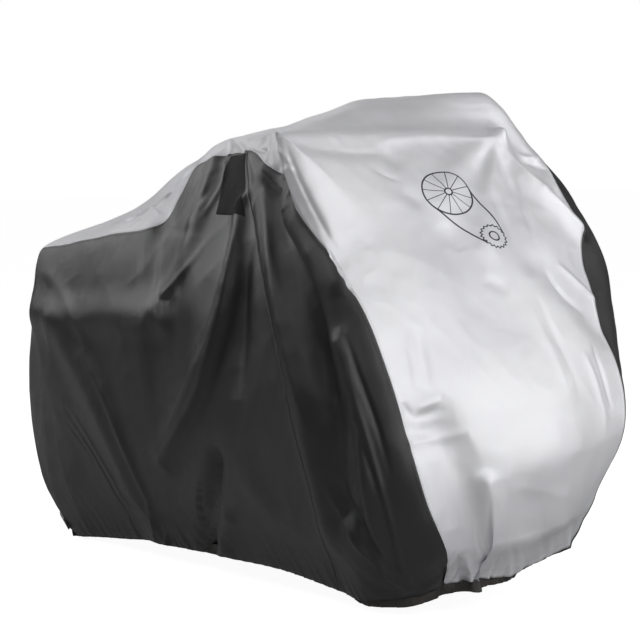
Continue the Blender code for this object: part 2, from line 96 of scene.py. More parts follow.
world = bpy.data.worlds.new("surround")
world.use_nodes = True
bpy.context.scene.world = world
nodes = world.node_tree.nodes
links = world.node_tree.links
seen = nodes["Background"]
seen.inputs["Color"].default_value = (*SURROUND, 1.0)
seen.inputs["Strength"].default_value = SURROUND_SEEN
lit = nodes.new("ShaderNodeBackground")
lit.inputs["Color"].default_value = (*SURROUND, 1.0)
lit.inputs["Strength"].default_value = SURROUND_LIGHT
path = nodes.new("ShaderNodeLightPath")
mix = nodes.new("ShaderNodeMixShader")
links.new(path.outputs["Is Camera Ray"], mix.inputs["Fac"])
links.new(lit.outputs["Background"], mix.inputs[1])
links.new(seen.outputs["Background"], mix.inputs[2])
links.new(mix.outputs["Shader"], nodes["World Output"].inputs["Surface"])

half = FLOOR_SIDE / 2
floor_mesh = bpy.data.meshes.new("floor")
floor_mesh.from_pydata([(-half, -half, 0), (half, -half, 0), (half, half, 0), (-half, half, 0)],
                       [], [(0, 1, 2, 3)])
floor_finish = bpy.data.materials.new("floor_paper")
floor_finish.use_nodes = True
nodes, links = floor_finish.node_tree.nodes, floor_finish.node_tree.links
paper = nodes["Principled BSDF"]
paper.inputs["Base Color"].default_value = FLOOR_COLOUR
paper.inputs["Roughness"].default_value = FLOOR_ROUGH
paper.inputs["Emission Color"].default_value = (1.0, 1.0, 1.0, 1.0)
path = nodes.new("ShaderNodeLightPath")
glow = nodes.new("ShaderNodeMapRange")
glow.inputs["To Min"].default_value = FLOOR_GLOW
glow.inputs["To Max"].default_value = FLOOR_GLOW_SEEN
links.new(path.outputs["Is Camera Ray"], glow.inputs["Value"])
links.new(glow.outputs["Result"], paper.inputs["Emission Strength"])
floor_mesh.materials.append(floor_finish)
floor = bpy.data.objects.new("floor", floor_mesh)
bpy.context.collection.objects.link(floor)

# ==== Band, laid out from seam to seam ====
# The band is one long strip of silver coated polyester that runs from the rear hem over the
# saddles and the handlebars to the front hem. It is laid out through five lengthwise lines,
# whose stations run from 0 at the rear hem to 16 at the front hem.
FINE = 10                               # net lines from an edge to the points that guide it
COLUMNS_REAR = 290                      # station 0 to the notch
COLUMNS_FRONT = 321                     # notch to station 16
ROWS_BAND = 160
ROWS_PACKED = 0.35                      # how much closer the rows lie by the near seam
NOTCH = 7.0                             # station where the upright seams start
LAST = 16.0
STATION_STEPS = 1600                    # short steps that the cover's length is measured in
ORIGIN = (-0.0174, 0.0921, -0.0004)     # the part's origin, in the frame of the tables
# Lengthwise lines. A row holds a station and x, y and z there.
NEAR_SEAM = (
    (0.0, -0.775, -0.212, 0.030),
    (0.5, -0.826, -0.232, 0.090),
    (1.0, -0.876, -0.242, 0.170),
    (2.0, -0.928, -0.250, 0.440),
    (2.6, -0.880, -0.250, 0.640),
    (3.0, -0.850, -0.250, 0.745),
    (3.5, -0.720, -0.250, 0.763),
    (4.0, -0.580, -0.245, 0.782),
    (4.4, -0.445, -0.245, 0.800),
    (4.7, -0.325, -0.230, 0.813),
    (5.0, -0.280, -0.200, 0.832),
    (5.5, -0.258, -0.165, 0.900),
    (6.0, -0.235, -0.130, 0.973),
    (6.4, -0.149, -0.105, 0.994),
    (6.7, -0.105, -0.100, 1.004),
    (7.0, -0.034, -0.100, 1.009),
    (7.5, 0.115, -0.140, 0.978),
    (8.0, 0.297, -0.200, 0.965),
    (8.5, 0.450, -0.270, 0.905),
    (9.0, 0.490, -0.280, 0.878),
    (10.0, 0.640, -0.265, 0.756),
    (11.0, 0.732, -0.250, 0.651),
    (12.0, 0.793, -0.240, 0.546),
    (13.0, 0.862, -0.225, 0.395),
    (14.0, 0.887, -0.200, 0.270),
    (15.0, 0.900, -0.150, 0.158),
    (16.0, 0.851, -0.100, 0.073),
)
NEAR_SHOULDER = (
    (0.0, -0.790, -0.070, 0.040),
    (1.0, -0.910, -0.080, 0.190),
    (2.0, -0.955, -0.090, 0.470),
    (3.0, -0.870, -0.100, 0.783),
    (4.0, -0.590, -0.100, 0.852),
    (5.0, -0.330, -0.100, 0.930),
    (6.0, -0.240, -0.070, 1.025),
    (7.0, -0.020, -0.060, 1.050),
    (8.0, 0.280, -0.170, 1.040),
    (9.0, 0.420, -0.288, 1.047),
    (10.0, 0.625, -0.130, 0.825),
    (11.0, 0.725, -0.100, 0.710),
    (12.0, 0.795, -0.085, 0.600),
    (13.0, 0.885, -0.070, 0.435),
    (14.0, 0.922, -0.060, 0.300),
    (15.0, 0.925, -0.040, 0.170),
    (16.0, 0.862, -0.030, 0.082),
)
RIDGE = (
    (0.0, -0.800, 0.070, 0.050),
    (1.0, -0.920, 0.070, 0.200),
    (2.0, -0.960, 0.070, 0.500),
    (3.0, -0.870, 0.050, 0.822),
    (3.5, -0.750, 0.060, 0.868),
    (4.0, -0.600, 0.050, 0.954),
    (4.5, -0.520, 0.050, 0.985),
    (5.0, -0.420, 0.030, 1.008),
    (6.0, -0.250, 0.000, 1.040),
    (7.0, 0.000, 0.000, 1.070),
    (8.0, 0.250, 0.060, 1.127),
    (9.0, 0.420, 0.000, 1.050),
    (10.0, 0.610, 0.050, 0.855),
    (11.0, 0.715, 0.070, 0.735),
    (12.0, 0.790, 0.090, 0.625),
    (13.0, 0.890, 0.100, 0.465),
    (14.0, 0.935, 0.100, 0.330),
    (15.0, 0.930, 0.100, 0.190),
    (16.0, 0.860, 0.060, 0.090),
)
FAR_SHOULDER = (
    (0.0, -0.790, 0.200, 0.040),
    (1.0, -0.910, 0.220, 0.190),
    (2.0, -0.955, 0.240, 0.470),
    (3.0, -0.870, 0.230, 0.800),
    (4.0, -0.590, 0.220, 0.900),
    (5.0, -0.350, 0.200, 0.980),
    (6.0, -0.220, 0.170, 1.015),
    (7.0, 0.000, 0.170, 1.060),
    (8.0, 0.325, 0.315, 1.140),
    (9.0, 0.420, 0.300, 1.043),
    (10.0, 0.600, 0.290, 0.870),
    (11.0, 0.700, 0.250, 0.760),
    (12.0, 0.770, 0.260, 0.650),
    (13.0, 0.855, 0.270, 0.480),
    (14.0, 0.890, 0.260, 0.345),
    (15.0, 0.880, 0.220, 0.220),
    (16.0, 0.835, 0.160, 0.116),
)
FAR_SEAM = (
    (0.0, -0.760, 0.330, 0.030),
    (1.0, -0.870, 0.360, 0.170),
    (2.0, -0.930, 0.385, 0.440),
    (3.0, -0.850, 0.390, 0.745),
    (4.0, -0.580, 0.385, 0.780),
    (5.0, -0.300, 0.370, 0.825),
    (6.0, -0.200, 0.300, 0.950),
    (7.0, 0.000, 0.300, 0.990),
    (8.0, 0.330, 0.420, 1.030),
    (8.7, 0.450, 0.428, 0.975),
    (9.0, 0.495, 0.428, 0.928),
    (10.0, 0.590, 0.415, 0.835),
    (11.0, 0.665, 0.385, 0.735),
    (12.0, 0.740, 0.380, 0.620),
    (13.0, 0.820, 0.376, 0.490),
    (14.0, 0.862, 0.343, 0.370),
    (15.0, 0.855, 0.274, 0.245),
    (16.0, 0.800, 0.257, 0.150),
)


def smooth(knots, values, at):
    """Cubic through the rows of values that rises and falls only where they do.

    Between two knots it is the cubic with their values and slopes. A knot's slope is the
    weighted harmonic mean of the slopes to both sides, or 0 where these differ in sign.
    """
    knots = np.asarray(knots, float)
    values = np.asarray(values, float).reshape(len(knots), -1)
    span = np.diff(knots)[:, None]
    slope = np.diff(values, axis=0) / span
    same = slope[1:] * slope[:-1] > 0
    before = np.where(same, slope[:-1], 1.0)
    after = np.where(same, slope[1:], 1.0)
    w_before = 2 * span[1:] + span[:-1]
    w_after = span[1:] + 2 * span[:-1]
    inner = np.where(same, (w_before + w_after) / (w_before / before + w_after / after), 0.0)
    tangent = np.concatenate([slope[:1], inner, slope[-1:]])
    i = np.clip(np.searchsorted(knots, at, side="right") - 1, 0, len(knots) - 2)
    t = ((at - knots[i]) / span[i, 0])[:, None]
    rise = (1 + 2 * t) * (1 - t) ** 2 * values[i] + t * t * (3 - 2 * t) * values[i + 1]
    lean = t * (1 - t) ** 2 * tangent[i] - t * t * (1 - t) * tangent[i + 1]
    return rise + span[i] * lean


def table_at(table, stations):
    """Columns of a table worked out at any stations."""
    rows = np.array(table)
    return smooth(rows[:, 0], rows[:, 1:], stations)


def station_columns():
    """Stations of the net's columns, at even steps of length along the cover."""
    fine = np.linspace(0.0, LAST, STATION_STEPS + 1)
    middle = (table_at(NEAR_SEAM, fine) + table_at(RIDGE, fine)) / 2
    run = np.concatenate([[0.0], np.cumsum(np.linalg.norm(np.diff(middle, axis=0), axis=1))])
    notch = np.interp(NOTCH, fine, run)
    rear = np.interp(np.linspace(0.0, notch, COLUMNS_REAR + 1), run, fine)
    front = np.interp(np.linspace(notch, run[-1], COLUMNS_FRONT + 1), run, fine)
    return np.concatenate([rear, front[1:]])


def chord_knots(net):
    """A knot for each row of a net, spaced as far apart as the rows are on the whole."""
    steps = np.linalg.norm(np.diff(net, axis=0), axis=2).mean(axis=1)
    return np.concatenate([[0.0], np.cumsum(steps)])


def across(knots, net, rows):
    """A net worked out at any rows."""
    return smooth(knots, net.reshape(len(net), -1), rows).reshape(len(rows), *net.shape[1:])


# ==== Side panels, laid out on the same net ====
# Each side is sewn from a rear panel and a front panel of charcoal cloth, which meet in an
# upright seam under the saddle. A rear panel's crosswise lines drop from the band's seam to
# the hem, and a front panel's lines run from the upright seam to the band.
ROWS_SIDE = COLUMNS_FRONT - 1
ROWS_FRONT = 80
# Rear panels. A row holds a station, where its crosswise line ends on the hem (x, y, z), and
# how far that line bows forward and stands out sideways.
NEAR_SIDE = (
    (0.0, -0.738, -0.206, 0.031, 0.000, 0.000),
    (1.0, -0.690, -0.203, 0.036, 0.000, 0.020),
    (2.0, -0.600, -0.200, 0.044, 0.000, 0.050),
    (3.0, -0.500, -0.200, 0.052, 0.000, 0.075),
    (4.0, -0.350, -0.205, 0.064, 0.020, 0.080),
    (5.0, -0.100, -0.210, 0.066, 0.060, 0.095),
    (6.0, 0.250, -0.215, 0.073, 0.120, 0.130),
    (7.0, 0.569, -0.220, 0.056, 0.180, 0.140),
)
FAR_SIDE = (
    (0.0, -0.735, 0.325, 0.031, 0.000, 0.000),
    (1.0, -0.690, 0.325, 0.036, 0.000, 0.010),
    (2.0, -0.610, 0.325, 0.044, 0.000, 0.020),
    (3.0, -0.520, 0.330, 0.054, 0.000, 0.035),
    (4.0, -0.380, 0.335, 0.064, 0.010, 0.050),
    (5.0, -0.150, 0.340, 0.070, 0.040, 0.070),
    (6.0, 0.150, 0.340, 0.075, 0.090, 0.110),
    (7.0, 0.400, 0.340, 0.080, 0.150, 0.130),
)
# Front panels. A row holds a share of the way from notch to hem, and how far the line from
# the upright seam to the band bows forward, stands out sideways and is raised there.
NEAR_FRONT = (
    (0.00, 0.000, 0.000, 0.000),
    (0.15, 0.010, 0.012, 0.000),
    (0.30, 0.015, 0.025, 0.000),
    (0.50, 0.015, 0.036, 0.000),
    (0.70, 0.015, 0.042, 0.000),
    (0.85, 0.015, 0.050, -0.005),
    (1.00, 0.015, 0.050, -0.020),
)
FAR_FRONT = (
    (0.00, 0.000, 0.000, 0.000),
    (0.15, 0.040, 0.052, 0.000),
    (0.30, 0.058, 0.078, 0.000),
    (0.50, 0.064, 0.086, 0.000),
    (0.70, 0.045, 0.055, 0.000),
    (0.85, 0.000, 0.025, 0.000),
    (1.00, 0.000, 0.030, -0.010),
)
SIDE_ROWS = (0.15, 0.38, 0.62, 0.85)   # where a side's net is knotted, as shares from seam to hem
SIDE_ROUND = 0.6                       # below 1 the bow and the bulge rise fast and stay flat


def side_rows(seam, table, stations, outward):
    """Knot rows of one side, from the seam down, and its hem row.

    A row lies at its share of the way from seam to hem, pushed by sin(pi share)^0.6 times
    the line's bow and bulge.
    """
    ends = table_at(table, stations)
    hem = ends[:, :3]
    push = ends[:, 3:4] * np.array([1.0, 0.0, 0.0]) + ends[:, 4:5] * np.array([0.0, outward, 0.0])
    rows = [seam + share * (hem - seam) + np.sin(np.pi * share) ** SIDE_ROUND * push
            for share in SIDE_ROWS]
    return rows, hem


def rear_and_band():
    """Points of the band and the two rear panels, as rows from hem or seam to seam or hem."""
    stations = station_columns()
    behind = stations[:COLUMNS_REAR + 1]
    seam_near = table_at(NEAR_SEAM, stations)
    seam_far = table_at(FAR_SEAM, stations)
    near, near_hem = side_rows(seam_near[:len(behind)], NEAR_SIDE, behind, -1.0)
    far, far_hem = side_rows(seam_far[:len(behind)], FAR_SIDE, behind, 1.0)
    top = [seam_near] + [table_at(t, stations) for t in (NEAR_SHOULDER, RIDGE, FAR_SHOULDER)]
    top.append(seam_far)
    whole = np.array([near_hem] + near[::-1] + [row[:len(behind)] for row in top] + far + [far_hem])
    knots = chord_knots(whole)
    first, last = knots[len(near) + 1], knots[len(near) + len(top)]
    share = np.linspace(0.0, 1.0, ROWS_BAND + 1)
    band_rows = first + (last - first) * (ROWS_PACKED * share ** 2 + (1 - ROWS_PACKED) * share)
    near_rear = across(knots, whole, np.linspace(0.0, first, ROWS_SIDE + 1))
    far_rear = across(knots, whole, np.linspace(last, knots[-1], ROWS_SIDE + 1))
    band = across(knots[len(near) + 1:len(near) + len(top) + 1], np.array(top), band_rows)
    band[:, :len(behind)] = across(knots, whole, band_rows)
    return near_rear, band, far_rear


def front_panel(upright, beside, seam, above, table, outward):
    """Points of a front panel, on lines from the upright seam to the band's seam.

    Each line is the smooth cubic through a point beside the upright seam, the seam, two
    points a third and two thirds of the way, pushed by the table, the band's seam and a point above it.
    """
    share = np.linspace(0.0, 1.0, COLUMNS_FRONT)
    push = table_at(table, share) * np.array([1.0, outward, 1.0])
    thirds = [upright + (seam - upright) * k / 3 + push for k in (1, 2)]
    net = np.array([beside, upright] + thirds + [seam, above])
    knots = chord_knots(net)
    return across(knots, net, np.linspace(knots[1], knots[-2], ROWS_FRONT + 1))


near_rear, band, far_rear = rear_and_band()
first = COLUMNS_REAR + 1
panels = {
    "band": band,
    "side_near_rear": near_rear,
    "side_far_rear": far_rear,
    "side_near_front": front_panel(near_rear[::-1, -1], near_rear[::-1, -1 - FINE],
                                   band[0, first:], band[FINE, first:], NEAR_FRONT, -1.0),
    "side_far_front": front_panel(far_rear[:, -1], far_rear[:, -1 - FINE],
                                  band[-1, first:], band[-1 - FINE, first:], FAR_FRONT, 1.0)[::-1],
}

# ==== Folds and creases of the hanging cloth ====
# The cloth hangs in broad folds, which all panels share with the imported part. On them lie the
# smaller creases of stiff coated cloth: fans from the handlebars' corners, dents in the front,
# pulled lines on the sides and the pleats that the drawn hem makes.

# Folds. A row holds the side that it is seen from, its start, middle and end in that view, its
# half width at start and end and its height, which is < 0 for a trough. The near and far views
# see (x, z), the front and rear ones (y, z) and the top one (x, y).
FOLDS = (
    ("near", (0.100, 0.880), (0.135, 0.600), (-0.120, 0.270), 0.030, 0.040, 0.022),
    ("near", (-0.175, 0.985), (-0.070, 0.800), (-0.160, 0.640), 0.025, 0.040, 0.012),
    ("near", (-0.660, 0.560), (-0.420, 0.330), (-0.280, 0.030), 0.060, 0.050, 0.016),
    ("near", (-0.800, 0.585), (-0.500, 0.590), (-0.120, 0.600), 0.050, 0.040, 0.016),
    ("near", (-0.110, 0.030), (0.050, 0.160), (0.140, 0.290), 0.024, 0.030, -0.020),
    ("near", (-0.030, 0.030), (0.050, 0.090), (0.140, 0.150), 0.022, 0.022, 0.010),
    ("near", (0.160, 0.960), (0.530, 0.680), (0.700, 0.230), 0.040, 0.060, -0.035),
    ("near", (0.180, 0.900), (0.460, 0.610), (0.630, 0.150), 0.030, 0.040, 0.012),
    ("near", (0.690, 0.600), (0.775, 0.370), (0.790, 0.030), 0.025, 0.022, 0.014),
    ("near", (0.750, 0.410), (0.765, 0.300), (0.770, 0.100), 0.020, 0.020, -0.008),
    ("near", (0.400, 1.030), (0.320, 0.995), (0.220, 0.960), 0.020, 0.030, -0.014),
    ("near", (0.425, 1.045), (0.500, 0.930), (0.660, 0.735), 0.020, 0.030, 0.012),
    ("front", (0.290, 1.035), (0.170, 0.985), (0.050, 0.895), 0.020, 0.040, 0.012),
    ("front", (0.300, 1.030), (0.215, 0.935), (0.115, 0.800), 0.020, 0.035, 0.010),
    ("front", (0.305, 1.035), (0.325, 0.940), (0.420, 0.830), 0.020, 0.025, 0.014),
    ("front", (0.030, 0.880), (0.020, 0.790), (0.020, 0.690), 0.050, 0.050, -0.010),
    ("front", (0.240, 0.760), (0.300, 0.690), (0.360, 0.610), 0.045, 0.045, -0.012),
    ("front", (-0.165, 0.420), (-0.115, 0.290), (-0.085, 0.060), 0.060, 0.050, -0.028),
    ("front", (-0.062, 0.300), (-0.052, 0.190), (-0.045, 0.040), 0.020, 0.020, 0.018),
    ("front", (0.060, 0.240), (0.120, 0.150), (0.170, 0.080), 0.050, 0.030, -0.014),
    ("top", (0.420, -0.270), (0.422, 0.000), (0.420, 0.290), 0.025, 0.025, 0.010),
    ("top", (0.250, 0.020), (0.290, 0.180), (0.325, 0.320), 0.035, 0.030, 0.008),
    ("rear", (-0.150, 0.720), (-0.120, 0.420), (-0.100, 0.060), 0.045, 0.050, 0.014),
    ("rear", (0.060, 0.660), (0.030, 0.360), (0.020, 0.040), 0.050, 0.050, -0.018),
    ("rear", (0.250, 0.720), (0.210, 0.400), (0.160, 0.050), 0.045, 0.050, 0.014),
    ("far", (0.020, 0.930), (0.060, 0.600), (-0.120, 0.200), 0.035, 0.045, 0.018),
    ("far", (0.330, 0.930), (0.500, 0.620), (0.530, 0.140), 0.045, 0.060, -0.028),
    ("far", (-0.660, 0.580), (-0.420, 0.330), (-0.300, 0.030), 0.055, 0.050, 0.014),
    ("far", (-0.780, 0.600), (-0.450, 0.610), (-0.100, 0.620), 0.050, 0.040, 0.014),
    ("far", (-0.020, 0.030), (0.060, 0.160), (0.120, 0.300), 0.030, 0.035, -0.016),
)
VIEWS = {"near": ((0, 2), (0, -1, 0)), "far": ((0, 2), (0, 1, 0)), "front": ((1, 2), (1, 0, 0)),
         "rear": ((1, 2), (-1, 0, 0)), "top": ((0, 1), (0, 0, 1))}
FACING = (0.20, 0.55)    # a fold fades where the cloth turns away from its view
LEVEL = (0.05, 0.25)     # up to these heights folds push the cloth level, so the hem keeps its line
FOLD_STEPS = 12          # short straight runs that a fold's line is measured along
# Creases, drawn where they show in the camera's picture. A row holds the places of its start,
# middle and end, in pixels right and down, its half width at start and end and its height at
# start, middle and end, in millimetres, and how sharp its crest is, from 0 to 1. A trough has
# heights < 0. A row that starts at the end of the row before it goes on from there.
CREASES = (
    # near rear panel: the ridge that falls from the patch, and what lies beside it
    ((238, 214), (223, 300), (203, 378), 14, 22, 0, 12, 13, 0.6),
    ((203, 378), (190, 408), (163, 453), 22, 8, 13, 10, 0, 0.6),
    ((249, 240), (243, 320), (238, 400), 22, 36, 0, -9, 0, 0),
    ((212, 236), (188, 266), (162, 296), 14, 10, 1, 3, 4, 0.5),
    ((155, 296), (162, 299), (172, 301), 8, 8, 0, -2.5, 0, 0.3),
    ((225, 162), (221, 188), (196, 224), 8, 12, 4, 6, 0, 0.6),
    ((201, 170), (190, 195), (174, 217), 14, 14, 1, 3, 0, 0.3),
    ((211, 176), (200, 199), (183, 220), 14, 16, -2, -4, 0, 0.1),
    ((168, 230), (186, 231), (207, 233), 14, 12, 0, -2, 0, 0.1),
    # near rear panel: the roll over the wheel, the rear corner and the tucks under it
    ((80, 300), (120, 303), (164, 308), 34, 30, 1, 4, 0, 0),
    ((82, 322), (118, 322), (152, 322), 24, 22, 0, -3.5, 0, 0),
    ((46, 272), (69, 310), (95, 380), 20, 22, 2, 4, 0, 0.3),
    ((82, 352), (112, 416), (148, 500), 20, 14, 2, 7, 5, 0.5),
    ((148, 500), (151, 520), (151, 539), 10, 8, 4, 3, 2, 0.3),
    ((60, 401), (95, 458), (127, 511), 5, 5, 0, -3, -3, 0.6),
    ((127, 511), (142, 530), (152, 544), 5, 5, -3, -3, -3, 0.6),
    ((66, 403), (99, 456), (131, 508), 6, 6, 0, 3, 3, 0.4),
    ((66, 420), (80, 442), (97, 466), 5, 5, 0, -2, 0, 0.5),
    # near rear panel: pockets and bumps above the hem
    ((202, 480), (200, 503), (206, 524), 7, 7, -2, -8, -4, 0.3),
    ((211, 469), (218, 499), (214, 524), 6, 6, 0, 6, 6, 0.6),
    ((214, 524), (206, 540), (193, 551), 6, 6, 6, 7, 6, 0.6),
    ((221, 460), (221, 473), (220, 496), 7, 6, -3, -8, -2, 0.3),
    ((218, 513), (216, 531), (200, 550), 6, 6, 0, -7, -8, 0.5),
    ((186, 540), (185, 546), (188, 550), 10, 10, -4, -10, -12, 0.2),
    ((165, 528), (166, 536), (165, 544), 7, 7, 3, 7, 7, 0.3),
    ((174, 530), (177, 538), (176, 546), 6, 6, -2, -5, -6, 0.3),
    ((240, 470), (262, 500), (289, 530), 40, 50, 3, 6, 3, 0),
    # near front panel
    ((260, 167), (268, 229), (279, 318), 12, 15, 0, 9, 8, 0.3),
    ((279, 318), (295, 392), (308, 440), 15, 16, 8, 5, 0, 0.3),
    ((279, 184), (299, 263), (321, 345), 18, 38, -4, -18, -23, 0),
    ((321, 345), (334, 400), (352, 460), 38, 40, -23, -13, 0, 0),
    ((326, 292), (343, 330), (357, 372), 6, 6, 0, -1, -5, 0.5),
    ((357, 372), (378, 430), (391, 478), 6, 6, -5, -5, 0, 0.5),
    ((346, 372), (374, 462), (394, 538), 7, 7, 0, 6, 7, 0.6),
    ((394, 538), (404, 572), (421, 594), 7, 8, 7, 7, 6, 0.6),
    ((349, 415), (378, 490), (396, 560), 6, 6, 0, -4, -4, 0.5),
    ((322, 478), (349, 530), (408, 588), 12, 8, 0, 6, 7, 0.5),
    ((336, 480), (362, 528), (404, 575), 20, 10, 0, -12, -4, 0.2),
    # band: the corner over the near handlebar and the ridge across to the far one
    ((274, 132), (279, 152), (286, 171), 6, 9, 3, 4, 5, 0.3),
    ((286, 171), (300, 207), (317, 233), 9, 9, 5, 5, 4, 0.3),
    ((317, 233), (327, 248), (336, 262), 9, 7, 4, 2, 0, 0.3),
    ((283, 136), (295, 170), (311, 205), 6, 8, 0, -3, -4, 0.2),
    ((311, 205), (325, 230), (341, 256), 8, 7, -4, -3, 0, 0.2),
    ((274, 142), (276, 154), (279, 166), 8, 14, 0, -6, -6, 0),
    ((273, 134), (269, 148), (266, 162), 8, 10, 0, 5, 6, 0.6),
    ((269, 134), (263, 143), (258, 150), 6, 8, 0, -3, 0, 0.2),
    ((284, 131), (335, 139), (390, 139), 7, 8, 3, 3, 2.5, 0.7),
    ((390, 139), (440, 137), (494, 137), 8, 7, 2.5, 2, 3, 0.7),
    ((301, 145), (345, 152), (400, 150), 20, 20, -2, -4, -2, 0.1),
    # band: soft dents of the upper front
    ((383, 152), (394, 158), (406, 166), 30, 30, 0, -4, 0, 0),
    ((403, 188), (413, 197), (424, 207), 22, 24, 0, -4, 0, 0.1),
    ((440, 224), (452, 240), (462, 252), 20, 20, 0, -3, 0, 0.1),
    ((484, 278), (497, 284), (512, 291), 20, 22, 0, -4, 0, 0.1),
    ((377, 168), (388, 176), (402, 180), 6, 6, 0, -2.5, 0, 0.4),
    # band: the fan from the corner over the far handlebar, and the far edge
    ((493, 142), (484, 160), (471, 188), 8, 26, 0, -8, 0, 0.1),
    ((495, 142), (491, 168), (485, 204), 8, 18, 0, 5, 0, 0.3),
    ((489, 185), (500, 211), (511, 240), 10, 12, 0, -5, 0, 0.3),
    ((499, 148), (508, 178), (521, 210), 8, 12, 0, -6, 0, 0.4),
    ((506, 160), (519, 195), (535, 248), 6, 7, 0, -5, 0, 0.7),
    ((498, 138), (537, 182), (581, 226), 12, 12, 3, 7, 6, 0.9),
    ((581, 226), (584, 232), (587, 240), 12, 8, 6, 4, 0, 0.9),
    ((521, 155), (529, 158), (538, 158), 5, 5, 2, 5, 3, 0.6),
    ((523, 162), (532, 164), (543, 168), 10, 10, -2, -6, -4, 0.3),
    ((546, 172), (545, 180), (543, 189), 6, 7, 2, 5, 2, 0.3),
    ((556, 190), (562, 202), (572, 214), 10, 10, -3, -6, 0, 0.2),
    ((546, 268), (560, 290), (580, 310), 9, 12, 0, -6, -3, 0.4),
    ((556, 262), (575, 280), (595, 300), 8, 10, 0, 5, 3, 0.3),
    # band: upright folds of the front
    ((408, 330), (413, 360), (417, 390), 14, 12, 0, 3, 0, 0.2),
    ((418, 326), (424, 360), (430, 392), 14, 12, 0, -3, 0, 0.2),
    ((462, 318), (468, 352), (470, 392), 20, 16, 0, 3, 0, 0.1),
    ((528, 300), (552, 350), (570, 400), 12, 12, 0, 3, 0, 0.4),
    ((536, 292), (560, 345), (582, 400), 10, 12, 0, -3, 0, 0.4),
    ((583, 350), (597, 385), (608, 425), 8, 10, 0, 4, 0, 0.4),
    ((590, 340), (603, 375), (612, 410), 8, 8, 0, -4, 0, 0.4),
    ((505, 330), (512, 370), (520, 420), 40, 45, 0, 5, 2, 0),
    # band: the slack by the near seam, the belly and the sharp fold above the hem
    ((417, 410), (428, 405), (441, 399), 8, 8, 0, 4, 0, 0.7),
    ((410, 419), (427, 414), (446, 407), 8, 8, 0, -3, 0, 0.4),
    ((404, 402), (408, 411), (414, 418), 8, 9, 0, -5, 0, 0.2),
    ((412, 426), (431, 421), (452, 415), 10, 10, 0, 2, 0, 0.3),
    ((412, 443), (440, 438), (467, 432), 12, 14, 4, 4, 3.5, 0.4),
    ((467, 432), (475, 448), (484, 464), 14, 18, 3.5, 1.5, 0, 0.4),
    ((506, 488), (540, 491), (578, 499), 14, 16, 0, 2, 1, 0.3),
    ((434, 462), (446, 496), (452, 530), 26, 26, 0, -6, 0, 0),
    ((474, 574), (508, 569), (548, 556), 90, 90, -18, -34, -24, 0),
    ((491, 488), (487, 530), (482, 567), 6, 18, 0, -6, -11, 0.9),
    # band: gathers of the front hem
    ((461, 558), (462, 570), (463, 584), 6, 7, -2, -12, -16, 0.4),
    ((468, 560), (469, 570), (471, 584), 6, 6, 2, 7, 9, 0.4),
    ((483, 562), (478, 572), (474, 580), 6, 6, -2, -10, -13, 0.4),
    ((493, 564), (489, 572), (485, 581), 6, 6, -2, -9, -12, 0.4),
    ((489, 565), (484, 574), (480, 582), 5, 5, 2, 6, 8, 0.4),
    ((504, 562), (501, 571), (499, 580), 6, 6, -2, -9, -11, 0.4),
    ((499, 564), (496, 573), (493, 581), 5, 5, 2, 5, 7, 0.4),
    ((516, 562), (514, 571), (512, 577), 6, 6, 0, -5, -7, 0.4),
    ((445, 567), (448, 578), (451, 588), 7, 7, -1, -5, -7, 0.3),
    ((561, 549), (550, 556), (543, 561), 5, 5, 0, -7, -9, 0.5),
    ((562, 544), (551, 551), (540, 558), 7, 7, 0, 5, 6, 0.4),
    # band: the strip above the near rear panel, from the rear to the notch
    ((114, 223), (133, 219), (152, 207), 8, 6, 3, 6, 6, 0.5),
    ((155, 207), (174, 189), (192, 168), 6, 6, 6, 6, 5, 0.5),
    ((150, 206), (155, 210), (161, 215), 5, 5, 2, 5, 2, 0.4),
    ((128, 227), (136, 222), (145, 216), 5, 5, 0, 3, 0, 0.4),
    ((163, 206), (169, 196), (176, 186), 5, 5, 0, -5, 0, 0.4),
    ((171, 206), (178, 192), (184, 180), 5, 5, 0, 4, 0, 0.4),
    ((231, 139), (231, 147), (229, 155), 5, 6, 3, 5, 4, 0.6),
    ((236, 143), (240, 147), (243, 151), 8, 10, -4, -7, -7, 0.2),
    ((249, 141), (247, 146), (246, 151), 6, 6, 3, 4, 4, 0.4),
    ((252, 143), (262, 139), (271, 134), 6, 6, 2, 4, 4, 0.4),
    ((255, 150), (262, 150), (267, 153), 6, 8, -3, -6, -5, 0.3),
)
PICTURE = 640            # pixels along a side of the picture
MILLIMETRE = 0.001
CREASE_STEPS = 8
CREASE_REACH = 3.0       # half widths past which a crease has died out
CREASE_FALL = 1.6        # how fast a sharp crease falls away, in its half widths
CREASE_TIP = 0.25        # its tip is rounded off within this many half widths
SURFACE_DEPTH = 0.12     # a crease acts on cloth that is nearer than this along the normal


def unit(vectors):
    """Vectors brought to length 1."""
    return vectors / np.linalg.norm(vectors, axis=-1, keepdims=True)


def shared_normals(nets):
    """Unit normals that point out of the cover, the same on both sides of a seam.

    A point's normal is the sum of the cross products of the diagonals of the faces round it.
    """
    points = np.concatenate([grid.reshape(-1, 3) for grid in nets.values()])
    same = np.unique(np.round(points, 5), axis=0, return_inverse=True)[1].ravel()
    total = np.zeros((same.max() + 1, 3))
    start = 0
    for grid in nets.values():
        place = same[start:start + grid[..., 0].size].reshape(grid.shape[:2])
        start += grid[..., 0].size
        square = np.cross(grid[1:, 1:] - grid[:-1, :-1], grid[1:, :-1] - grid[:-1, 1:])
        for corner in (place[:-1, :-1], place[:-1, 1:], place[1:, 1:], place[1:, :-1]):
            for axis in range(3):
                total[:, axis] += np.bincount(corner.ravel(), square[..., axis].ravel(), len(total))
    normals = unit(total)[same]
    cuts = np.cumsum([grid[..., 0].size for grid in nets.values()])[:-1]
    parts = np.split(normals, cuts)
    return {name: part.reshape(grid.shape) for (name, grid), part in zip(nets.items(), parts)}


def ease(value, low, high):
    """0 below low, 1 above high and a soft step between."""
    t = np.clip((value - low) / (high - low), 0.0, 1.0)
    return t * t * (3 - 2 * t)


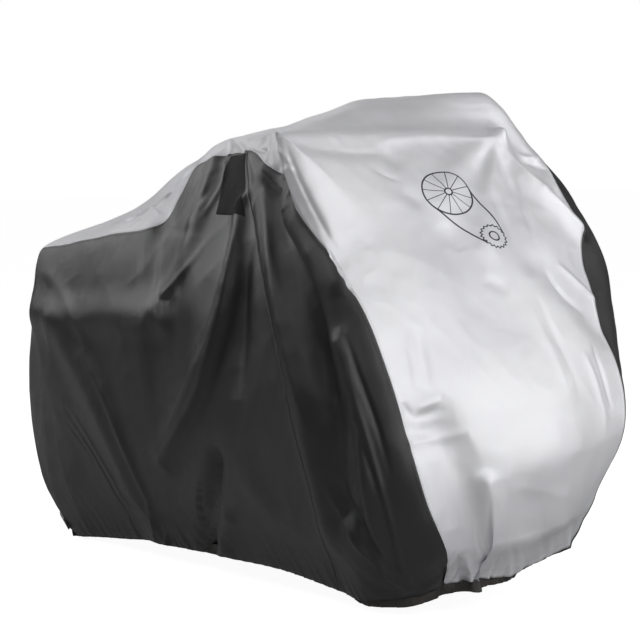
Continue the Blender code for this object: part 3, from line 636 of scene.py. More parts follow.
def through(a, m, b, steps):
    """Points of the quadratic curve that runs from a through m to b."""
    t = np.linspace(0.0, 1.0, steps + 1)[:, None]
    a, m, b = (np.array(p, float) for p in (a, m, b))
    return (1 - t) * (1 - 2 * t) * a + 4 * t * (1 - t) * m + t * (2 * t - 1) * b


def beside(line, spots, normals=None):
    """Distance from spots to a curve of short straight runs, and the share of the way along it.

    With normals, the distance is measured within the cloth, and what lies deep is far off.
    """
    steps = len(line) - 1
    nearest = np.full(spots.shape[:-1], np.inf)
    along = np.zeros(spots.shape[:-1])
    for k in range(steps):
        run = line[k + 1] - line[k]
        t = np.clip(((spots - line[k]) @ run) / (run @ run), 0.0, 1.0)
        gap = spots - line[k] - t[..., None] * run
        if normals is None:
            away = np.linalg.norm(gap, axis=-1)
        else:
            depth = np.sum(gap * normals, axis=-1)
            away = np.linalg.norm(gap - depth[..., None] * normals, axis=-1)
            away = np.where(np.abs(depth) < SURFACE_DEPTH, away, np.inf)
        closer = away < nearest
        nearest = np.where(closer, away, nearest)
        along = np.where(closer, (k + t) / steps, along)
    return nearest, along


def fold_heights(points, normals):
    """Height of all broad folds: each is height * exp(-(distance / half width)^2) in its view."""
    total = np.zeros(points.shape[:2])
    for view, start, middle, end, width_start, width_end, height in FOLDS:
        axes, toward = VIEWS[view]
        facing = ease(normals @ np.array(toward, float), *FACING)
        nearest, along = beside(through(start, middle, end, FOLD_STEPS), points[:, :, axes])
        width = width_start + (width_end - width_start) * along
        total += height * facing * np.exp(-(nearest / width) ** 2)
    return total


def net_faces(grid):
    """Four-sided faces between a net's points, counted row by row."""
    index = np.arange(grid[..., 0].size).reshape(grid.shape[:2])
    return np.stack([index[:-1, :-1], index[:-1, 1:], index[1:, 1:], index[1:, :-1]], -1).reshape(-1, 4)


def lower_edge(nets):
    """The lower edge all round, from the rear along the near side and back along the far side."""
    return np.concatenate([
        nets["side_near_rear"][0], nets["side_near_front"][1:-1, -1], nets["band"][:, -1],
        nets["side_far_front"][1:-1, -1], nets["side_far_rear"][-1, ::-1], nets["band"][::-1, 0]])


def crease_curves(nets):
    """The curve of each crease, carried from its places in the picture onto the cloth.

    The camera's ray through a place is followed to the cloth, or, where it passes below the
    hem, as deep as the point of the lower edge that shows nearest to it.
    """
    points, faces = [], []
    for grid in nets.values():
        faces += (net_faces(grid) + len(points)).tolist()
        points += grid.reshape(-1, 3).tolist()
    cloth = BVHTree.FromPolygons(points, faces)
    eye = np.array(CAMERA_PLACE) + ORIGIN
    right, up, back = np.array(Euler(np.radians(CAMERA_DEGREES)).to_matrix()).T
    edge = lower_edge(nets) - eye
    edge_depth = -edge @ back
    edge_shown = np.stack([edge @ right, -edge @ up], 1) / edge_depth[:, None]

    def on_cloth(place):
        spot = (np.array(place) / PICTURE - 0.5) * SENSOR_MM / LENS_MM
        way = spot[0] * right - spot[1] * up - back
        hit = cloth.ray_cast(Vector(eye), Vector(way))[0]
        if hit is None:
            nearest = np.argmin(np.linalg.norm(edge_shown - spot, axis=1))
            hit = eye + edge_depth[nearest] * way
        return np.array(hit)

    return [through(*map(on_cloth, row[:3]), CREASE_STEPS) for row in CREASES]


def crease_heights(points, normals, curves):
    """Height of all creases, each measured within the cloth from its curved line.

    With d = distance / half width, a soft crest is exp(-d^2) and a sharp one falls as
    exp(-1.6 d) with its tip rounded off, and a crease is their mix by its sharpness. Where a
    crease starts at the end of the one before it, only the higher of the two counts.
    """
    flat, facing = points.reshape(-1, 3), normals.reshape(-1, 3)
    total, before, last_end = np.zeros(len(flat)), np.zeros(len(flat)), None
    for line, (start, _, end, width_start, width_end, first, middle, last, sharp) in zip(curves, CREASES):
        reach = CREASE_REACH * max(width_start, width_end) * MILLIMETRE
        low, high = line.min(axis=0) - reach, line.max(axis=0) + reach
        near = np.flatnonzero(np.all((flat > low) & (flat < high), axis=1))
        if near.size == 0:
            continue
        nearest, along = beside(line, flat[near], facing[near])
        d = nearest / MILLIMETRE / (width_start + (width_end - width_start) * along)
        tip = CREASE_TIP - np.hypot(d, CREASE_TIP)
        crest = (1 - sharp) * np.exp(-d * d) + sharp * np.exp(CREASE_FALL * tip)
        height = ((1 - along) * (1 - 2 * along) * first + 4 * along * (1 - along) * middle
                  + along * (2 * along - 1) * last)
        this = np.zeros(len(flat))
        this[near] = height * MILLIMETRE * crest * (1 - ease(d, CREASE_REACH - 1, CREASE_REACH))
        shared = np.where(np.abs(this) < np.abs(before), this, before) if start == last_end else 0.0
        total += this - shared
        before, last_end = this, end
    return total.reshape(points.shape[:2])


def run_from(grid, edge):
    """Length along the cloth from one edge of a net, on its crosswise or lengthwise lines."""
    axis = 0 if edge in ("first_row", "last_row") else 1
    ahead = edge in ("first_row", "first_column")
    way = grid if ahead else np.flip(grid, axis)
    steps = np.linalg.norm(np.diff(way, axis=axis), axis=2)
    zero = np.zeros_like(np.take(steps, [0], axis=axis))
    run = np.concatenate([zero, np.cumsum(steps, axis=axis)], axis=axis)
    return run if ahead else np.flip(run, axis)


SEAMS = {
    "band": ("first_row", "last_row"),
    "side_near_rear": ("last_row", "last_column"),
    "side_near_front": ("first_row", "last_row", "first_column"),
    "side_far_rear": ("first_row", "last_column"),
    "side_far_front": ("first_row", "last_row", "first_column"),
}
HEMS = {
    "band": ("first_column", "last_column"),
    "side_near_rear": ("first_row",),
    "side_near_front": ("last_column",),
    "side_far_rear": ("last_row",),
    "side_far_front": ("last_column",),
}


def nearest_run(edges):
    """For each net, the length along the cloth from the nearest of its listed edges."""
    return {name: np.min([run_from(grid, edge) for edge in edges[name]], axis=0)
            for name, grid in panels.items()}


seam_run = nearest_run(SEAMS)
hem_run = nearest_run(HEMS)

PLEAT_PITCH = (0.031, 0.047, 0.083)     # lengths of the hem's pleats, one wave for each
PLEAT_SHARE = (0.35, 0.40, 0.25)
PLEAT_REACH = 0.055                     # how far up from the hem a pleat dies out
PLEAT_FALL = 1.3                        # above 1 it keeps its height at first and then falls fast
PLEAT_SLANT = 1.2                       # how much a step sideways counts against one lengthwise
PLEAT_HEIGHT = (
    # x, height of the pleats there
    (-0.90, 0.0015),
    (-0.30, 0.0015),
    (-0.10, 0.0040),
    (0.20, 0.0012),
    (0.70, 0.0020),
    (0.90, 0.0055),
)


def pleat_heights(points, up_from_hem):
    """Pleats that the drawn hem makes: three waves along the hem times exp(-(up / reach)^1.3)."""
    along = points[..., 0] + PLEAT_SLANT * np.abs(points[..., 1])
    wave = sum(share * np.sin(2 * np.pi * along / pitch + k)
               for k, (pitch, share) in enumerate(zip(PLEAT_PITCH, PLEAT_SHARE)))
    height = np.interp(points[..., 0], *np.array(PLEAT_HEIGHT).T)
    return height * wave * np.exp(-(up_from_hem / PLEAT_REACH) ** PLEAT_FALL)


SLACK_WAVES = 14         # waves of each size
SLACK = (
    # shortest and longest wave in metres, height
    (0.25, 0.55, 0.0014),
    (0.07, 0.16, 0.0004),
)
SLACK_SEED = 11


def slack_heights(points):
    """Uneven slack with soft hollows and narrow crests.

    For each size it is height * (1 - 2 |mean|), with the mean of sine waves in random directions.
    """
    pick = np.random.default_rng(SLACK_SEED)
    total = np.zeros(points.shape[:2])
    for shortest, longest, height in SLACK:
        mean = np.zeros(points.shape[:2])
        for _ in range(SLACK_WAVES):
            way = unit(pick.normal(size=3))
            wave = pick.uniform(shortest, longest)
            mean += np.sin(2 * np.pi * (points @ way) / wave + pick.uniform(0, 2 * np.pi))
        total += height * (1 - 2 * np.abs(mean) / SLACK_WAVES ** 0.5)
    return total


UPWARD = np.array([0.0, 0.0, 1.0])
HEM_LEAN = 0.15          # inward step of the lowest cloth, as a share of its drop
HEM_REACH = 0.06         # the cloth this near to the hem takes part in the drop
HEM_DROP_SIDES = (
    # x, how far the edge hangs down over the casing
    (-0.90, 0.024),
    (0.40, 0.024),
    (0.62, 0.020),
    (0.80, 0.004),
)
HEM_DROP_FRONT = (
    # y, the same
    (-0.16, 0.003),
    (-0.03, 0.003),
    (0.05, 0.014),
    (0.12, 0.022),
    (0.30, 0.024),
)
HEM_DROP_REAR = 0.008    # the same for the rear of the band
HEM_DROP_FAR = 0.024     # the same for the far side
CALM = 5                 # neighbours to each side that the casing's line is averaged with


def hem_drops(name, points):
    """How far each point's hem hangs down over the casing."""
    if name == "band":
        front = np.interp(points[..., 1], *np.array(HEM_DROP_FRONT).T)
        return np.where(points[..., 0] > 0, front, HEM_DROP_REAR)
    sides = np.interp(points[..., 0], *np.array(HEM_DROP_SIDES).T)
    return np.where(points[..., 1] < 0, sides, HEM_DROP_FAR)


def calmed(line):
    """A closed line averaged with its neighbours, so that it passes by the smallest gathers."""
    return sum(np.roll(line, k, axis=0) for k in range(-CALM, CALM + 1)) / (2 * CALM + 1)


def pushed(grid, normal, height):
    """A net pushed out by heights, and only sideways where it hangs low, so the hem keeps its line."""
    way = normal.copy()
    way[..., 2] *= ease(grid[..., 2], *LEVEL)
    return grid + height[..., None] * way


normals = shared_normals(panels)
for name, grid in panels.items():
    panels[name] = pushed(grid, normals[name], fold_heights(grid, normals[name]))
normals = shared_normals(panels)
curves = crease_curves(panels)
for name, grid in panels.items():
    panels[name] = pushed(grid, normals[name], crease_heights(grid, normals[name], curves))
casing_line = calmed(lower_edge(panels)) - np.array(ORIGIN)
for name, grid in panels.items():
    height = slack_heights(grid) + pleat_heights(grid, hem_run[name])
    drop = hem_drops(name, grid) * (1 - ease(hem_run[name], 0.0, HEM_REACH))
    down = np.array([-HEM_LEAN, -HEM_LEAN, 0.0]) * normals[name] - UPWARD
    panels[name] = pushed(grid, normals[name], height) + drop[..., None] * down - np.array(ORIGIN)
normals = shared_normals(panels)

# ==== Silver band ====
# One strip of fine plain woven polyester with an aluminium coated face, satin and slightly
# crinkled. Its long edges are turned under and topstitched, and thin dark line art, a spoked
# wheel that drives a smaller toothed ring, is printed on the front.
ALLOWANCE = 0.006        # cloth turned inward along a seam or the hem
EDGE_GAP = 0.0003        # a seamed edge stands back by this
SILVER_COLOUR = (0.70, 0.70, 0.72, 1.0)
SILVER_SHADE = (0.63, 0.63, 0.66, 1.0)
SILVER_ROUGH = (0.34, 0.44)
SILVER_METAL = 0.42
NOISE_ROUGH = 0.55       # how strong each finer part of a noise is beside the one before
THREAD_PITCH = 0.0006    # from one yarn of the weave to the next
THREAD_RELIEF = 0.00006
CRINKLE_SIZE = 30.0      # crinkles to the metre
CRINKLE_RELIEF = 0.0004
TURNING = 0.007          # width of the turned edge, which is one cloth thicker
TURNING_BLUR = 0.001     # its step is soft over this, to both sides
SILVER_TURNED = 0.0005   # how thick that cloth looks
PUCKER_PITCH = 0.011     # small puckers along a stitched edge
PUCKER_WANDER = 2.6      # how uneven their pitch is, in radians
PUCKER_REACH = 0.0168    # how far from the edge they die out
PUCKER_HEIGHT = 0.25     # as a share of the cloth's thickness
INK_COLOUR = (0.012, 0.012, 0.016, 1.0)
INK_ROUGHER = 0.15       # how much rougher ink is than the coating
PRINT_PLACE = (0.610, 0.012, 0.872)     # middle of the print
PRINT_RIGHT = (0.0, 1.0, 0.0)
PRINT_DOWN = (0.655, 0.0, -0.756)
LINE_WIDTH = 0.0040
LINE_EDGE = (0.38, 0.62)                # where a line's ink ends, as shares of that width
SPOKE_EDGE = (0.16, 0.36)               # the same for a spoke, which is thinner
LINE_END = 0.001                        # length over which the ink of a spoke's end fades
WHEEL_PLACE = (-0.030, -0.058)          # right and down of the middle
WHEEL_RADIUS = 0.062
WHEEL_HUB = 0.009
WHEEL_SPOKES = 12
RING_PLACE = (0.032, 0.078)
RING_RADIUS = 0.031
RING_TEETH = 18
RING_BORE = 0.40                        # inner circle, as a share of the radius
TOOTH = 0.0020


class Shade:
    """A socket in a material. Operators add Math nodes, and node() adds any other node."""

    def __init__(self, tree, socket=None):
        self.tree = tree
        self.socket = socket

    def node(self, kind, settings, sockets, out=0):
        made = self.tree.nodes.new("ShaderNode" + kind)
        for key, value in settings.items():
            setattr(made, key, value)
        for key, value in sockets.items():
            if isinstance(value, Shade):
                self.tree.links.new(value.socket, made.inputs[key])
            else:
                made.inputs[key].default_value = value
        return Shade(self.tree, made.outputs[out])

    def output(self, name):
        return Shade(self.tree, self.socket.node.outputs[name])

    def math(self, operation, *others):
        return self.node("Math", {"operation": operation}, dict(enumerate((self, *others))))

    def __add__(self, other):
        return self.math("ADD", other)

    def __sub__(self, other):
        return self.math("SUBTRACT", other)

    def __mul__(self, other):
        return self.math("MULTIPLY", other)

    def __truediv__(self, other):
        return self.math("DIVIDE", other)

    def __pow__(self, other):
        return self.math("POWER", other)

    def __rsub__(self, other):
        return self * -1.0 + other

    def __abs__(self):
        return self.math("ABSOLUTE")

    __radd__ = __add__
    __rmul__ = __mul__

    def sine(self):
        return self.math("SINE")

    def rise(self, low, high):
        """A soft step from 0 at low to 1 at high."""
        return self.node("MapRange", {"interpolation_type": "SMOOTHSTEP"},
                         {"Value": self, "From Min": low, "From Max": high})

    def within(self, low, high):
        """The number that lies this share of the way from low to high."""
        return low + (high - low) * self

    def between(self, first, second):
        """The mix of two colours by this factor."""
        return self.node("Mix", {"data_type": "RGBA"}, {0: self, 6: first, 7: second}, 2)


def new_finish(name):
    """An empty material with its shader's inputs and a place to build expressions from."""
    material = bpy.data.materials.new(name)
    material.use_nodes = True
    return material, Shade(material.node_tree), material.node_tree.nodes["Principled BSDF"].inputs


def feed(shade, inputs, values):
    """Sets or links the shader's inputs."""
    for key, value in values.items():
        if isinstance(value, Shade):
            shade.tree.links.new(value.socket, inputs[key])
        else:
            inputs[key].default_value = value


def cut_place(shade):
    """Along and across on the cloth as it was cut, in metres."""
    spot = shade.node("SeparateXYZ", {}, {0: shade.node("UVMap", {"uv_map": "cut"}, {})})
    return spot.output("X"), spot.output("Y")


def noise(shade, size, detail):
    """Noise on the cloth in space, with this many features to the metre."""
    spot = shade.node("TexCoord", {}, {}).output("Object")
    return shade.node("TexNoise", {"noise_type": "FBM"},
                      {"Vector": spot, "Scale": size, "Detail": detail, "Roughness": NOISE_ROUGH})


def woven(shade, along, across, pitch):
    """Height of a plain weave: the product of a sine along and a sine across."""
    turn = 2 * np.pi / pitch
    return (along * turn).sine() * (across * turn).sine()


def relief(shade, height, distance, below=None):
    """A bump of this real height on top of another."""
    sockets = {"Height": height, "Distance": distance, "Strength": 1.0}
    if below is not None:
        sockets["Normal"] = below
    return shade.node("Bump", {}, sockets)


def line_mask(distance):
    """1 within half a printed line's width of distance 0, with a soft edge."""
    return 1 - abs(distance).rise(*(LINE_WIDTH * share for share in LINE_EDGE))


def printed(shade):
    """Where the ink lies: a spoked wheel, a toothed ring and the two straight runs that touch both."""
    spot = shade.node("SeparateXYZ", {}, {0: shade.node("UVMap", {"uv_map": "print"}, {})})
    x, y = spot.output("X") - WHEEL_PLACE[0], spot.output("Y") - WHEEL_PLACE[1]
    radius = (x * x + y * y) ** 0.5
    sector = y.math("ARCTAN2", x) / (2 * np.pi / WHEEL_SPOKES)
    off_spoke = abs(sector.math("FRACT") - 0.5) * (2 * np.pi / WHEEL_SPOKES) * radius
    spoke = 1 - off_spoke.rise(*(LINE_WIDTH * share for share in SPOKE_EDGE))
    spoke = spoke * radius.rise(WHEEL_HUB, WHEEL_HUB + LINE_END)
    spoke = spoke * (1 - radius.rise(WHEEL_RADIUS - LINE_END, WHEEL_RADIUS))
    ink = spoke.math("MAXIMUM", line_mask(radius - WHEEL_RADIUS))
    ink = ink.math("MAXIMUM", line_mask(radius - WHEEL_HUB))
    gap_x, gap_y = RING_PLACE[0] - WHEEL_PLACE[0], RING_PLACE[1] - WHEEL_PLACE[1]
    x_ring, y_ring = x - gap_x, y - gap_y
    ring = (x_ring * x_ring + y_ring * y_ring) ** 0.5
    tooth = (y_ring.math("ARCTAN2", x_ring) * RING_TEETH).math("SINE") * TOOTH
    ink = ink.math("MAXIMUM", line_mask(ring - tooth - RING_RADIUS))
    ink = ink.math("MAXIMUM", line_mask(ring - RING_RADIUS * RING_BORE))
    heading = np.arctan2(gap_y, gap_x)
    step_in = WHEEL_RADIUS - RING_RADIUS - TOOTH
    length = (gap_x ** 2 + gap_y ** 2 - step_in ** 2) ** 0.5
    lean = np.arctan2(step_in, length)
    for side in (1, -1):
        out = heading + side * (np.pi / 2 - lean)
        start = np.array([np.cos(out), np.sin(out)]) * WHEEL_RADIUS
        way = np.array([np.cos(heading - side * lean), np.sin(heading - side * lean)])
        run = (x - start[0]) * way[0] + (y - start[1]) * way[1]
        off = (x - start[0]) * way[1] - (y - start[1]) * way[0]
        inside = run.rise(0.0, LINE_END / 2) * (1 - run.rise(length - LINE_END / 2, length))
        ink = ink.math("MAXIMUM", line_mask(off) * inside)
    return ink


def sewn_edge(shade, along, below, height):
    """The cloth along its seams: a turned edge, one cloth thicker, with puckers at the stitches."""
    seam = shade.node("Attribute", {"attribute_name": "seam"}, {}, 2)
    turned = 1 - seam.rise(TURNING - TURNING_BLUR, TURNING + TURNING_BLUR)
    wander = noise(shade, size=14.0, detail=1.0) * PUCKER_WANDER
    pucker = (along * (2 * np.pi / PUCKER_PITCH) + wander).math("SINE")
    pucker = pucker * (1 - seam.rise(TURNING_BLUR, PUCKER_REACH))
    return relief(shade, turned + pucker * PUCKER_HEIGHT, height, below)


def coated_cloth(shade, along, across, height):
    """Relief of the woven, coated cloth with its crinkles and its sewn edges."""
    under = relief(shade, woven(shade, along, across, THREAD_PITCH), THREAD_RELIEF)
    under = relief(shade, noise(shade, size=CRINKLE_SIZE, detail=2.0), CRINKLE_RELIEF, under)
    return sewn_edge(shade, along, under, height)


def silver_finish():
    """Aluminium coated cloth with the print in dark ink."""
    material, shade, inputs = new_finish("silver_cloth")
    along, across = cut_place(shade)
    ink = printed(shade)
    tone = noise(shade, size=3.0, detail=3.0).rise(0.3, 0.7)
    feed(shade, inputs, {
        "Base Color": ink.between(tone.between(SILVER_COLOUR, SILVER_SHADE), INK_COLOUR),
        "Metallic": SILVER_METAL * (1 - ink),
        "Roughness": noise(shade, size=9.0, detail=4.0).within(*SILVER_ROUGH) + INK_ROUGHER * ink,
        "Normal": coated_cloth(shade, along, across, SILVER_TURNED),
    })
    return material


def smooth_mesh(name, points, faces, finish):
    """A mesh that is shaded smooth, with its material."""
    mesh = bpy.data.meshes.new(name)
    mesh.from_pydata(points.reshape(-1, 3), [], faces)
    mesh.shade_smooth()
    mesh.materials.append(finish)
    return mesh


def add_map(mesh, label, places):
    """A UV map with one place for each point of the mesh."""
    corners = np.empty(len(mesh.loops), np.int32)
    mesh.loops.foreach_get("vertex_index", corners)
    layer = mesh.uv_layers.new(name=label)
    layer.data.foreach_set("uv", places.reshape(-1, 2)[corners].ravel())


def cut_map(mesh, grid):
    """A UV map that says how far each point of a net lies along and across the cloth as it was cut."""
    along = np.broadcast_to(run_from(grid, "first_column").mean(axis=0), grid.shape[:2])
    add_map(mesh, "cut", np.stack([along, run_from(grid, "first_row")], -1))


def new_piece(name, mesh):
    """A piece that keeps its place on the part."""
    piece = bpy.data.objects.new(name, mesh)
    bpy.context.collection.objects.link(piece)
    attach(piece, "root")
    return piece


def with_allowance(values, depth=None):
    """Values on a net's points with one more line all round, pushed inward by depth times them."""
    rim = np.pad(values, [(1, 1), (1, 1)] + [(0, 0)] * (values.ndim - 2), mode="edge")
    if depth is None:
        return rim
    return np.pad(np.zeros(values.shape[:2]), 1, constant_values=depth)[..., None] * rim


def hung_sheet(name, finish):
    """A panel as a thin sheet on its net, with its allowances, its maps and its edges' runs."""
    grid = panels[name].copy()
    for edge in SEAMS[name]:
        net = grid if edge.endswith("row") else grid.swapaxes(0, 1)
        line, inside = (net[0], net[1]) if edge.startswith("first") else (net[-1], net[-2])
        line += EDGE_GAP * unit(inside - line + 1e-9)
    grid = with_allowance(grid) - with_allowance(normals[name], ALLOWANCE)
    mesh = smooth_mesh(name + "_cloth", grid, net_faces(grid), finish)
    cut_map(mesh, grid)
    if name == "band":
        axes = np.array([PRINT_RIGHT, PRINT_DOWN]).T
        add_map(mesh, "print", (grid - np.array(PRINT_PLACE)) @ axes)
    layer = mesh.attributes.new("seam", "FLOAT", "POINT")
    layer.data.foreach_set("value", with_allowance(seam_run[name]).ravel())
    piece = new_piece(name + "_cloth", mesh)
    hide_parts(name)
    return piece


hung_sheet("band", silver_finish())

# ==== Charcoal side panels ====
# Four panels of the same weave with a black, slightly glossy coating. They are sewn to the
# band and to each other, and a painted shade darkens a thin strip along the seams.
CHARCOAL_COLOUR = (0.0056, 0.0056, 0.0064, 1.0)
CHARCOAL_WORN = (0.0080, 0.0080, 0.0090, 1.0)
CHARCOAL_ROUGH = (0.28, 0.36)
CHARCOAL_SHINE = 0.62
CHARCOAL_TURNED = 0.0004                # how thick its turned edge looks
# painted shade: the colour of a thin strip along the seams, darker as if the seam's groove lay in shade
PAINTED_SEAM_SHADE = (0.002, 0.002, 0.002, 1.0)
PAINTED_SEAM_WIDTH = 0.0016


def charcoal_finish():
    """Black coated cloth, with painted shade as a darker strip along its seams."""
    material, shade, inputs = new_finish("charcoal_cloth")
    along, across = cut_place(shade)
    seam = shade.node("Attribute", {"attribute_name": "seam"}, {}, 2)
    # painted shade: the cloth turns darker within this width of a seam
    seam_shade_mask = 1 - seam.rise(PAINTED_SEAM_WIDTH, PAINTED_SEAM_WIDTH * 2)
    tone = noise(shade, size=4.0, detail=3.0).rise(0.3, 0.7)
    feed(shade, inputs, {
        "Base Color": seam_shade_mask.between(tone.between(CHARCOAL_COLOUR, CHARCOAL_WORN), PAINTED_SEAM_SHADE),
        "Roughness": noise(shade, size=8.0, detail=4.0).within(*CHARCOAL_ROUGH),
        "Specular IOR Level": CHARCOAL_SHINE,
        "Normal": coated_cloth(shade, along, across, CHARCOAL_TURNED),
    })
    return material


SIDE_CUTS = {
    # flat size and area of each panel
    "side_near_rear": ((1.05, 1.60), 1.14),
    "side_near_front": ((0.30, 1.60), 0.365),
    "side_far_rear": ((0.90, 1.50), 1.01),
    "side_far_front": ((0.40, 1.60), 0.46),
}
charcoal = charcoal_finish()
sides = {name: hung_sheet(name, charcoal)
         for name, (flat, area) in SIDE_CUTS.items()}

# ==== Hem casing ====
# The drawn hem: a flat sleeve of dark cloth with a cord inside, sewn all round under the
# panels' lower edges. The drawn cord gathers it in small ripples, and the front shows it.
CASING_HEIGHT = 0.028
CASING_HALF = 0.0022     # half its thickness
CASING_LEAN = 0.30       # inward step of its lower edge, as a share of its height
CASING_IN = 0.004        # how far its upper edge lies inside the panels
CASING_ROUND = 14        # points once round its section
CASING_STEP = 0.0001     # points of the lower edge that lie nearer than this are one
GATHERS = (
    # pitch along the hem, in or out step
    (0.0135, 0.0008),
    (0.0210, 0.0009),
    (0.0470, 0.0012),
)
GATHER_TURN = 2.1        # radians from the start of one wave to that of the next
CASING_COLOUR = (0.020, 0.018, 0.016, 1.0)
CASING_LIGHT = (0.040, 0.036, 0.032, 1.0)
CASING_ROUGH = (0.48, 0.68)
CASING_THREAD = 0.0016
CASING_RELIEF = 0.0002


def casing_net():
    """Rings of the sleeve: a flat oval carried along the lower edge, with gathers.

    At turn t of the section the point lies CASING_HALF * sin(t) outward, and drops by
    half the height * (1 - cos(t)), leaning inward, with sine gathers that are deepest midway.
    """
    line = casing_line
    step = np.linalg.norm(line - np.roll(line, 1, axis=0), axis=1)
    line = line[step > CASING_STEP]
    ahead = np.roll(line, -1, axis=0) - np.roll(line, 1, axis=0)
    away = unit(np.stack([ahead[:, 1], -ahead[:, 0], 0 * ahead[:, 0]], axis=1))
    run = np.concatenate([[0.0], np.cumsum(np.linalg.norm(np.diff(line, axis=0), axis=1))])
    total = run[-1] + np.linalg.norm(line[0] - line[-1])
    gather = sum(step * np.sin(2 * np.pi * np.round(total / pitch) * run / total + GATHER_TURN * k)
                 for k, (pitch, step) in enumerate(GATHERS))
    turn = np.linspace(0.0, 2 * np.pi, CASING_ROUND, endpoint=False)[:, None]
    drop = CASING_HEIGHT * (1 - np.cos(turn)) / 2
    out = CASING_HALF * np.sin(turn) - CASING_LEAN * drop - CASING_IN
    out = out + gather * np.sin(turn / 2) ** 2
    return line + out[..., None] * away - drop[..., None] * UPWARD


def loop_faces(net):
    """Faces between the points of a net that closes on itself both ways."""
    index = np.arange(net[..., 0].size).reshape(net.shape[:2])
    ahead, round_ = np.roll(index, -1, axis=1), np.roll(index, -1, axis=0)
    return np.stack([index, round_, np.roll(round_, -1, axis=1), ahead], -1).reshape(-1, 4)


def casing_finish():
    """Dark cloth in a coarse weave."""
    material, shade, inputs = new_finish("hem_casing")
    spot = shade.node("SeparateXYZ", {}, {0: shade.node("TexCoord", {}, {}).output("Object")})
    around = spot.output("X") + spot.output("Y")
    tone = noise(shade, size=16.0, detail=3.0).rise(0.35, 0.65)
    feed(shade, inputs, {
        "Base Color": tone.between(CASING_COLOUR, CASING_LIGHT),
        "Roughness": noise(shade, size=30.0, detail=2.0).within(*CASING_ROUGH),
        "Normal": relief(shade, woven(shade, around, spot.output("Z"), CASING_THREAD), CASING_RELIEF),
    })
    return material


net = casing_net()
casing = new_piece("hem_sleeve", smooth_mesh("hem_sleeve", net, loop_faces(net), casing_finish()))
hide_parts("hem_casing")

# ==== Patch below the notch ====
# A four-cornered piece of matt black fabric, sewn flat on the near side panel under the
# band's seam, where the cloth is pulled hardest.
PATCH_CORNERS = (
    # share of the near rear panel's rows and columns: upper rear, upper front, lower rear, lower front
    (0.985, 0.946), (0.985, 0.997), (0.835, 0.904), (0.814, 0.985),
)
PATCH_CELLS = (60, 34)   # down and along
PATCH_THICK = 0.0011
PATCH_EDGE = 0.0012      # its edge rounds off within this
PATCH_SUNK = 0.0002      # how deep its edge is pulled into the panel
PATCH_SIZE = (0.14, 0.09)               # about how far it runs down and along
PATCH_COLOUR = (0.0045, 0.0045, 0.0048, 1.0)
PATCH_WORN = (0.008, 0.008, 0.009, 1.0)
PATCH_ROUGH = (0.72, 0.84)
PATCH_SHINE = 0.35
PATCH_RELIEF = 0.00025
RIB_PITCH = 0.0022


def sampled(grid, row, column):
    """A net's value at fractional rows and columns, mixed from its four nearest points."""
    r = np.clip(row.astype(int), 0, grid.shape[0] - 2)
    c = np.clip(column.astype(int), 0, grid.shape[1] - 2)
    v, u = (row - r)[..., None], (column - c)[..., None]
    return ((grid[r, c] * (1 - u) + grid[r, c + 1] * u) * (1 - v)
            + (grid[r + 1, c] * (1 - u) + grid[r + 1, c + 1] * u) * v)


def patch_net():
    """Points of the patch: the panel's surface under it plus thick * (1 - exp(-edge distance / edge))."""
    down, along = np.meshgrid(*(np.linspace(0.0, 1.0, n + 1) for n in PATCH_CELLS), indexing="ij")
    first, second, third, fourth = np.array(PATCH_CORNERS)[:, None, None]
    place = ((first * (1 - along[..., None]) + second * along[..., None]) * (1 - down[..., None])
             + (third * (1 - along[..., None]) + fourth * along[..., None]) * down[..., None])
    grid, facing = panels["side_near_rear"], normals["side_near_rear"]
    row, column = place[..., 0] * (grid.shape[0] - 1), place[..., 1] * (grid.shape[1] - 1)
    spot, normal = sampled(grid, row, column), unit(sampled(facing, row, column))
    edge_down, edge_along = (np.minimum(share, 1 - share) * size
                             for share, size in zip((down, along), PATCH_SIZE))
    edge = np.minimum(edge_down, edge_along)
    lift = PATCH_THICK * (1 - np.exp(-edge / PATCH_EDGE)) - PATCH_SUNK
    return spot + lift[..., None] * normal


def patch_finish():
    """Matt black ribbed fabric."""
    material, shade, inputs = new_finish("black_patch")
    rib = (cut_place(shade)[1] * (2 * np.pi / RIB_PITCH)).sine()
    tone = noise(shade, size=40.0, detail=3.0).rise(0.35, 0.7)
    feed(shade, inputs, {
        "Base Color": tone.between(PATCH_COLOUR, PATCH_WORN),
        "Roughness": noise(shade, size=60.0, detail=2.0).within(*PATCH_ROUGH),
        "Specular IOR Level": PATCH_SHINE,
        "Normal": relief(shade, rib * 0.5 + noise(shade, size=900.0, detail=2.0), PATCH_RELIEF),
    })
    return material


net = patch_net()
outward = net_faces(net)[:, [0, 3, 2, 1]]
mesh = smooth_mesh("sewn_patch", net, outward, patch_finish())
add_map(mesh, "cut", np.stack([run_from(net, "first_column"), run_from(net, "first_row")], -1))
patch = new_piece("sewn_patch", mesh)
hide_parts("patch")

# ==== Stitching ====
# Polyester thread: one row on each side of the band's long seams, one on the rear panels
# beside the upright seams, one along every hem and one round the patch. It is light on the band
# and dark elsewhere.
STITCH_PITCH = 0.0045
STITCH_LONG = 0.0030
STITCH_HALF = 0.00022    # half width of the thread
STITCH_RAISED = 0.3      # how far its middle lies above the cloth, in its half widths
STITCH_ROUND = 6         # points once round the thread
STITCH_RINGS = (
    # place from end to end of a stitch, -1 to 1, and share of the thread's half width there
    (-1.00, 0.25),
    (-0.75, 1.00),
    (0.75, 1.00),
    (1.00, 0.25),
)
STITCH_ROUGH = 0.6
STITCH_RELIEF = 0.0001
SEAM_TO_STITCH = 0.0050
HEM_TO_STITCH = 0.024
SHORT_LINE = 1.5         # a crossing line shorter than this many distances gets no stitch
PATCH_INSET = 2          # cells from the patch's edge to its stitches
PATCH_SPOT = (-20, -12)  # row and column of the near rear panel that the patch's stitches face like
STITCH_COLOURS = {
    "light_thread": ((0.22, 0.22, 0.23, 1.0), (0.32, 0.32, 0.34, 1.0)),
    "dark_thread": ((0.008, 0.008, 0.009, 1.0), (0.016, 0.016, 0.018, 1.0)),
}
